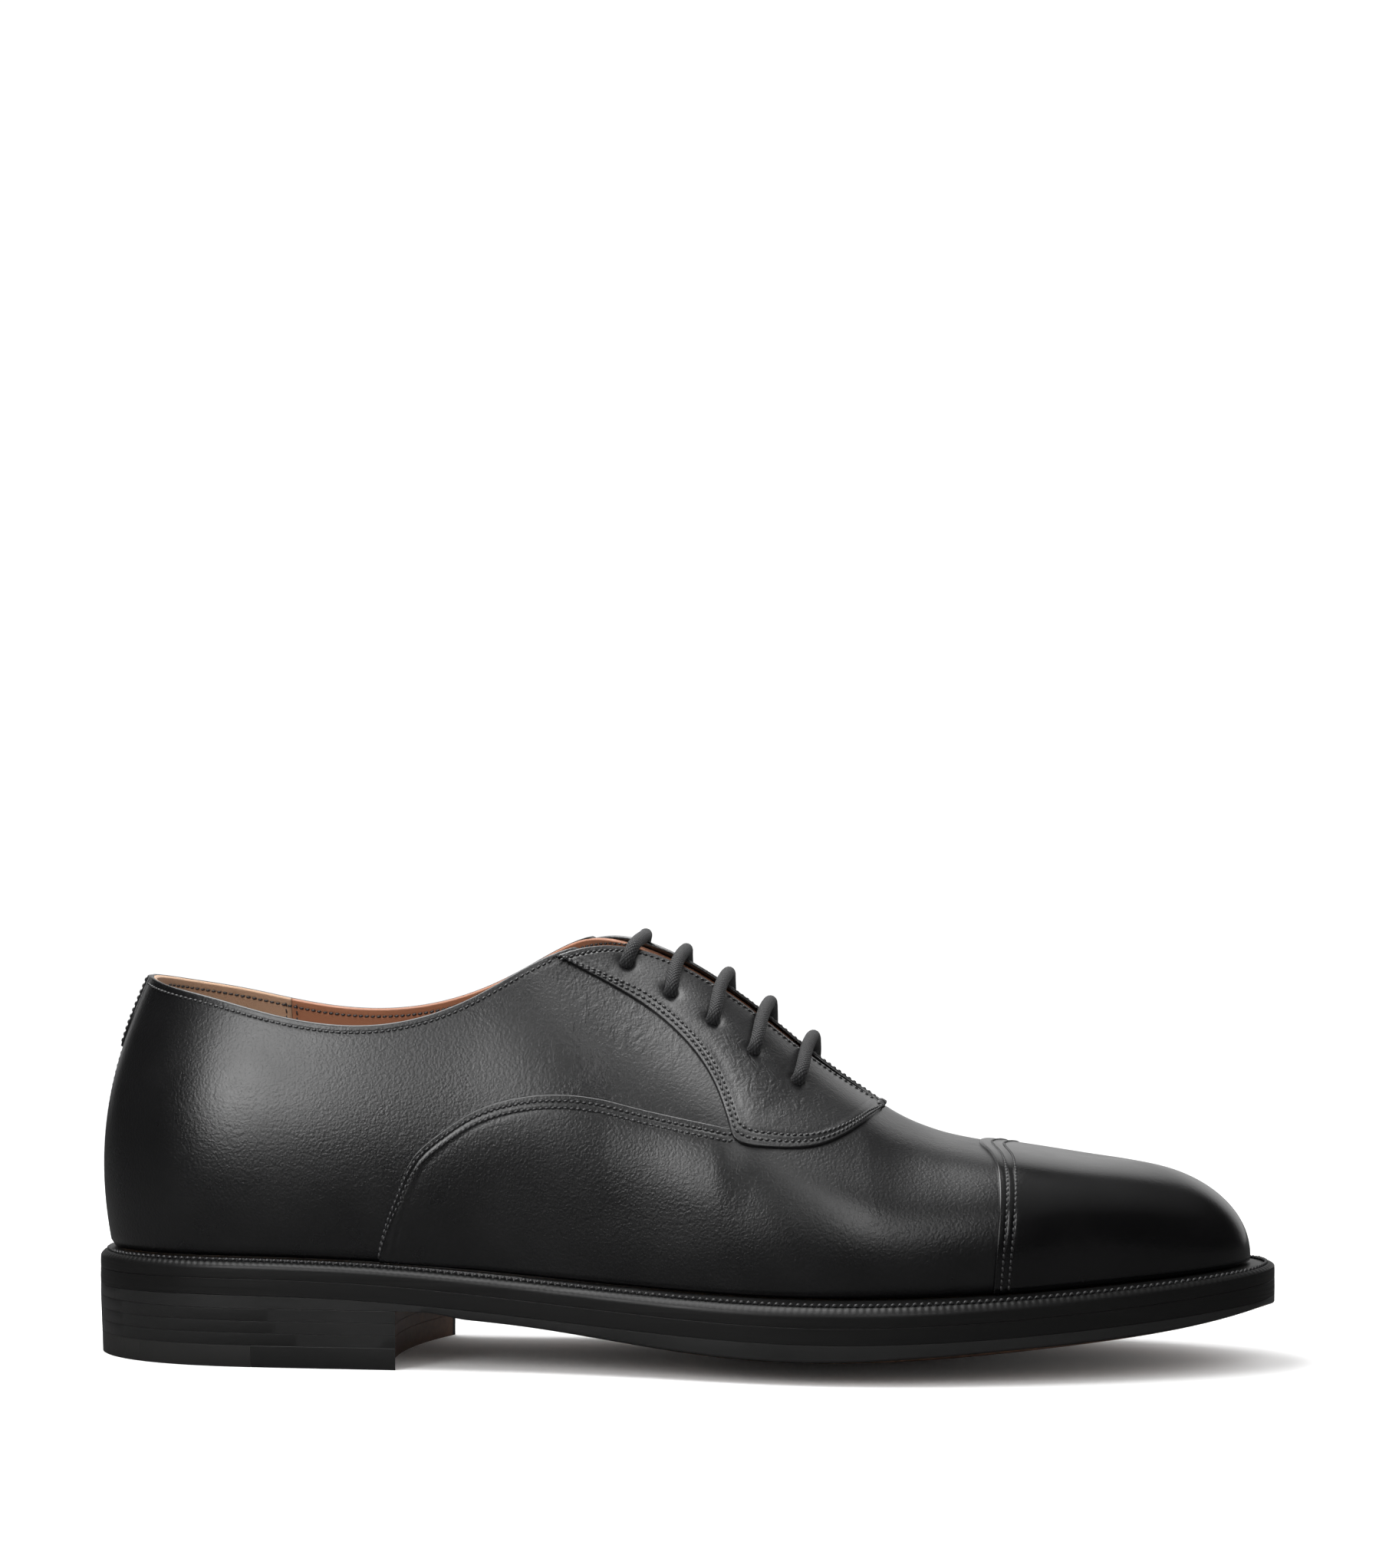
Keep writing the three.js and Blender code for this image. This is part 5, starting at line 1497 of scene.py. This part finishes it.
def heel_block(name, base, top, start, end, material, node_name, round_by):
    """One layer of the heel: sole outline behind, hollow breast in front, softened edges."""
    c = start + (end - start) * np.concatenate([np.array([0, .0015, .004, .009, .018, .035]),
                                                np.linspace(0.06, 0.94, 60),
                                                1 - np.array([.035, .018, .009, .004, .0015, 0])])
    faces_of = []
    for z, sign in ((top, -0.4), (base, 0.6)):
        taper = -0.6 * (1 - z / HEEL_TOP)
        low, high, first, _ = side_table(lambda x: edge_out(x) + taper)
        along = first + (BREAST_X - first) * (1 - np.cos(np.pi / 2 * c))
        x, k = np.meshgrid(along, (ACROSS + 1) / 2, indexing="ij")
        left, right = low(x), high(x)
        breast = -0.5 + 4.0 * k - 6 * (1 - (2 * k - 1) ** 2)
        spot_x = x + breast * ease(30, BREAST_X, x)
        from_side = np.minimum(k, 1 - k) * (right - left)
        edge = np.minimum(np.minimum(from_side, along[-1] - x), x - along[0])
        height = z + sign * round_by * (1 - rounded(edge, round_by))
        faces_of.append(np.stack([spot_x, left + (right - left) * k, height], -1))
    points, faces = leather_sheet(*faces_of)
    piece = make_piece(name, metres(points), faces, material, crisp=True)
    side_ink = 1 - ease(1.0, 1.8, np.minimum(from_side, (x - first)))
    mark_rim(piece, np.concatenate([side_ink.ravel(), side_ink.ravel()]))
    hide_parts(node_name)


lift = (HEEL_TOP - TOP_PIECE - JOIN) / HEEL_LIFTS
for i in range(HEEL_LIFTS):
    base = TOP_PIECE + JOIN + i * lift
    heel_block(f"heel_lift_{i + 1}_leather", base - CLOSE, base + lift - JOIN + CLOSE, 0, 1, heel_brown,
               f"heel_lift_{i + 1}", 0.08)
heel_block("top_piece_rubber_pad", 0, TOP_PIECE + CLOSE, 0, 0.703, top_rubber(),
           "top_piece_rubber", 0.12)
heel_block("top_piece_leather_pad", 0, TOP_PIECE + CLOSE, 0.7035, 1, heel_brown,
           "top_piece_leather", 0.12)


def brass():
    material, tree, bsdf = shader("brushed brass", (0.62, 0.43, 0.2), 0.35, Metallic=1.0)
    place = tree.nodes.new("ShaderNodeTexCoord").outputs["Object"]
    rub = node(tree, "ShaderNodeTexNoise", {"Vector": place, "Scale": 2500.0,
                                            "Detail": 3.0}).outputs["Fac"]
    tree.links.new(ranged(tree, rub, 0.0, 1.0, 0.25, 0.5), bsdf.inputs["Roughness"])
    tone = tinted(tree, rub, (0.5, 0.34, 0.15), (0.72, 0.52, 0.26))
    tree.links.new(tone, bsdf.inputs["Base Color"])
    return material


def nail_heads():
    """Small brass pins round the heel's top piece, their heads just clear of the leather."""
    low, high, _, _ = side_table(edge_out)
    spots = [(x, side) for x in (20, 32, 44, 56) for side in (0.14, 0.86)] + [(12, 0.5)]
    spots += [(72, k) for k in (0.14, 0.32, 0.5, 0.68, 0.86)]
    profile = [(0.05, 0.01), (0.55, -0.03), (0.85, 0.07), (0.9, 0.3)]
    angle = np.arange(PIN_SIDES) / PIN_SIDES * 2 * np.pi
    around = np.arange(PIN_SIDES)
    points, faces = [], []
    for x, k in spots:
        start = len(points) * PIN_SIDES
        x = x - (6 * (1 - (2 * k - 1) ** 2) - 4 * k) * float(ease(30, BREAST_X, x))
        y = float(low(x) + (high(x) - low(x)) * k)
        faces.append(list(start + around))
        for row, (r, z) in enumerate(profile):
            points.append(np.stack([x + r * np.cos(angle), y + r * np.sin(angle), z + 0 * angle], -1))
            if row:
                a = start + (row - 1) * PIN_SIDES + around
                b = np.roll(a, -1)
                faces += [list(f) for f in np.stack([a, a + PIN_SIDES, b + PIN_SIDES, b], -1)]
        faces.append(list(start + (len(profile) - 1) * PIN_SIDES + around)[::-1])
    piece = make_piece("heel_pins", metres(np.concatenate(points)), faces, brass())


nail_heads()


# ---- Insole, heel pad and what is built in ----------------------------------------
# A leather insole with a lining-leather pad at the heel. The counter, puff, canvas rib,
# cork filler and steel shank are closed in between the layers.

INSOLE, SOCK = 3.2, 0.8


def flat_stock(name, d, x_end, base, thick, material, node_name):
    """A flat layer inside the shoe, cut to the outline moved by d and ended at x_end."""
    low, high, first, last = side_table(lambda x: d + 0 * x)
    end = min(last, x_end)
    share = np.concatenate([np.array([0, .0008, .002, .005, .01, .02]), np.linspace(0.035, 0.965, 110),
                            1 - np.array([.02, .01, .005, .002, .0008, 0])])
    x, k = np.meshgrid(first + (end - first) * share, (ACROSS + 1) / 2, indexing="ij")
    if x_end < last:
        bow = 7 * (1 - (2 * k - 1) ** 2) * ease(0.6, 1, share)[:, None]
        x = x + bow
    left, right = low(x), high(x)
    y = left + (right - left) * k
    edge = np.minimum(np.minimum(k, 1 - k) * (right - left), np.minimum(x - first, x.max() - x))
    z = base(x)
    upper = np.stack([x, y, z + thick - 0.35 * (1 - rounded(edge, 0.5))], -1)
    lower = np.stack([x, y, z], -1)
    points, faces = leather_sheet(upper, lower)
    piece = make_piece(name, metres(points), faces, material)
    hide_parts(node_name)


def insole_base(x):
    return welt_top(x) + JOIN / 3


flat_stock("insole_leather_board", -4.6, 400, insole_base, INSOLE,
           sole_leather("natural insole leather", (0.36, 0.21, 0.11), (0.46, 0.29, 0.16)),
           "insole")
flat_stock("heel_pad_leather", -5.6, 98, lambda x: insole_base(x) + INSOLE + 0.02, SOCK, tan_lining,
           "heel_pad")


def built_in(name, base, light, rough, scale, depth, metallic=0.0):
    """A plain working material for the pieces that the finished shoe hides."""
    material, tree, bsdf = shader(name, base, rough, Metallic=metallic)
    place = tree.nodes.new("ShaderNodeTexCoord").outputs["Object"]
    fleck = node(tree, "ShaderNodeTexNoise", {"Vector": place, "Scale": scale, "Detail": 5.0,
                                              "Roughness": 0.7}).outputs["Fac"]
    finish(tree, bsdf, tinted(tree, fleck, base, light), raised(tree, fleck, depth),
           ranged(tree, fleck, 0.0, 1.0, rough - 0.1, min(1.0, rough + 0.15)))
    return material


board = built_in("stiffener board", (0.25, 0.15, 0.08), (0.38, 0.25, 0.15), 0.8, 900, 0.1)
HIDDEN = {
    "heel_counter": board,
    "toe_puff": board,
    "insole_rib": built_in("rib canvas", (0.5, 0.42, 0.3), (0.66, 0.58, 0.44), 0.85, 1500, 0.12),
    "cork_filler": built_in("pressed cork", (0.2, 0.11, 0.05), (0.42, 0.27, 0.14), 0.9, 420, 0.4),
    "shank": built_in("spring steel", (0.4, 0.41, 0.42), (0.55, 0.56, 0.57), 0.35, 300, 0.01, 1.0),
}
eyelet_metal = built_in("blackened brass eyelet", (0.05, 0.048, 0.045), (0.16, 0.14, 0.11), 0.4, 1800,
                        0.02, 1.0)
for side, name in SIDES:
    for i in range(len(EYELETS)):
        HIDDEN[f"eyelet_{name}_{i + 1}"] = eyelet_metal
for name, material in HIDDEN.items():
    cad_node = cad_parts[name]
    cad_node.data.materials.clear()
    cad_node.data.materials.append(material)


# ---- Floor, light and camera ------------------------------------------------------
# A wide pale floor in a white room, which polished leather sees as dark but for the wall
# behind and the ceiling. A softbox hangs over the upper, one stands by the heel, one in front.

floor_mesh = bpy.data.meshes.new("floor")
floor_mesh.from_pydata([(-8, -8, 0), (8, -8, 0), (8, 8, 0), (-8, 8, 0)], [], [(0, 1, 2, 3)])
floor = bpy.data.objects.new("floor", floor_mesh)
bpy.context.collection.objects.link(floor)
floor_paint, floor_tree, floor_bsdf = shader("pale floor", (0.9, 0.9, 0.9), 0.7,
                                             Specular_IOR_Level=0.0)
mottle = node(floor_tree, "ShaderNodeTexNoise", {"Scale": 6.0, "Detail": 3.0})
paint = tinted(floor_tree, mottle.outputs["Fac"], (0.91, 0.91, 0.91), (0.95, 0.95, 0.95))
# Painted reflection: glossy rays see the floor near black (0.05), so the leather reflects a dark floor
# while the camera sees it pale.
in_gloss = node(floor_tree, "ShaderNodeLightPath").outputs["Is Glossy Ray"]
floor_tree.links.new(tinted(floor_tree, in_gloss, paint, (0.05, 0.05, 0.05)),
                     floor_bsdf.inputs["Base Color"])
floor_mesh.materials.append(floor_paint)


def softbox(name, place, aim, width, height, brightness):
    """A glowing panel, brightest in its middle, that is left out of the picture itself."""
    mesh = bpy.data.meshes.new(name)
    w, h = width / 2, height / 2
    mesh.from_pydata([(-w, -h, 0), (w, -h, 0), (w, h, 0), (-w, h, 0)], [], [(0, 1, 2, 3)])
    panel = bpy.data.objects.new(name, mesh)
    panel.location = place
    panel.rotation_euler = (Vector(aim) - Vector(place)).to_track_quat("Z", "Y").to_euler()
    bpy.context.collection.objects.link(panel)
    glow = bpy.data.materials.new(name)
    glow.use_nodes = True
    tree = glow.node_tree
    tree.nodes.clear()
    spot = node(tree, "ShaderNodeTexCoord").outputs["Generated"]
    axes = node(tree, "ShaderNodeSeparateXYZ", {0: spot})
    fades = []
    for axis in ("X", "Y"):
        away = maths(tree, "ABSOLUTE", maths(tree, "SUBTRACT", axes.outputs[axis], 0.5))
        fades.append(ranged(tree, away, 0.12, 0.5, 1.0, 0.0, interpolation_type="SMOOTHSTEP"))
    power = maths(tree, "MULTIPLY", maths(tree, "MULTIPLY", *fades), brightness)
    lit = node(tree, "ShaderNodeEmission", {"Strength": power})
    node(tree, "ShaderNodeOutputMaterial", {"Surface": lit.outputs[0]})
    mesh.materials.append(glow)
    panel.visible_camera = panel.visible_shadow = False


softbox("overhead_softbox", (-0.13, 0.01, 0.42), (-0.13, 0.009, 0), 0.60, 0.78, 7.0)
softbox("heel_softbox", (-0.25, -0.36, 0.22), (-0.11, -0.03, 0.06), 0.26, 0.30, 8.0)
softbox("front_strip", (0.17, -0.95, 0.66), (0.09, 0, 0.1), 0.26, 0.95, 6.0)

world = bpy.data.worlds.new("studio")
bpy.context.scene.world = world
world.use_nodes = True
studio = world.node_tree
studio.nodes.clear()
direction = node(studio, "ShaderNodeTexCoord").outputs["Generated"]
split = node(studio, "ShaderNodeSeparateXYZ", {0: direction})
backdrop = ranged(studio, split.outputs["Y"], 0.7, 0.9, 0.012, 0.6, interpolation_type="SMOOTHSTEP")
ceiling = ranged(studio, split.outputs["Z"], 0.5, 1.0, 0.0, 0.3)
surround = maths(studio, "MAXIMUM", backdrop, ceiling)
gloss = node(studio, "ShaderNodeLightPath").outputs["Is Glossy Ray"]
white = node(studio, "ShaderNodeBackground", {"Color": (1, 1, 1, 1), "Strength": 1.12})
mirrored = node(studio, "ShaderNodeBackground", {"Color": (1, 1, 1, 1), "Strength": surround})
mixed = node(studio, "ShaderNodeMixShader", {0: gloss, 1: white.outputs[0], 2: mirrored.outputs[0]})
node(studio, "ShaderNodeOutputWorld", {"Surface": mixed.outputs[0]})
bpy.context.scene.view_settings.view_transform = "Standard"

camera_data = bpy.data.cameras.new("camera")
camera_data.lens, camera_data.sensor_width = 97.18, 36
camera = bpy.data.objects.new("camera", camera_data)
camera.location = metres((270.4, -1094, 148.3))
turn = math.radians(6)
aim = Vector((-math.sin(turn), math.cos(turn), 0))
camera.rotation_euler = aim.to_track_quat("-Z", "Y").to_euler()
bpy.context.collection.objects.link(camera)
bpy.context.scene.camera = camera
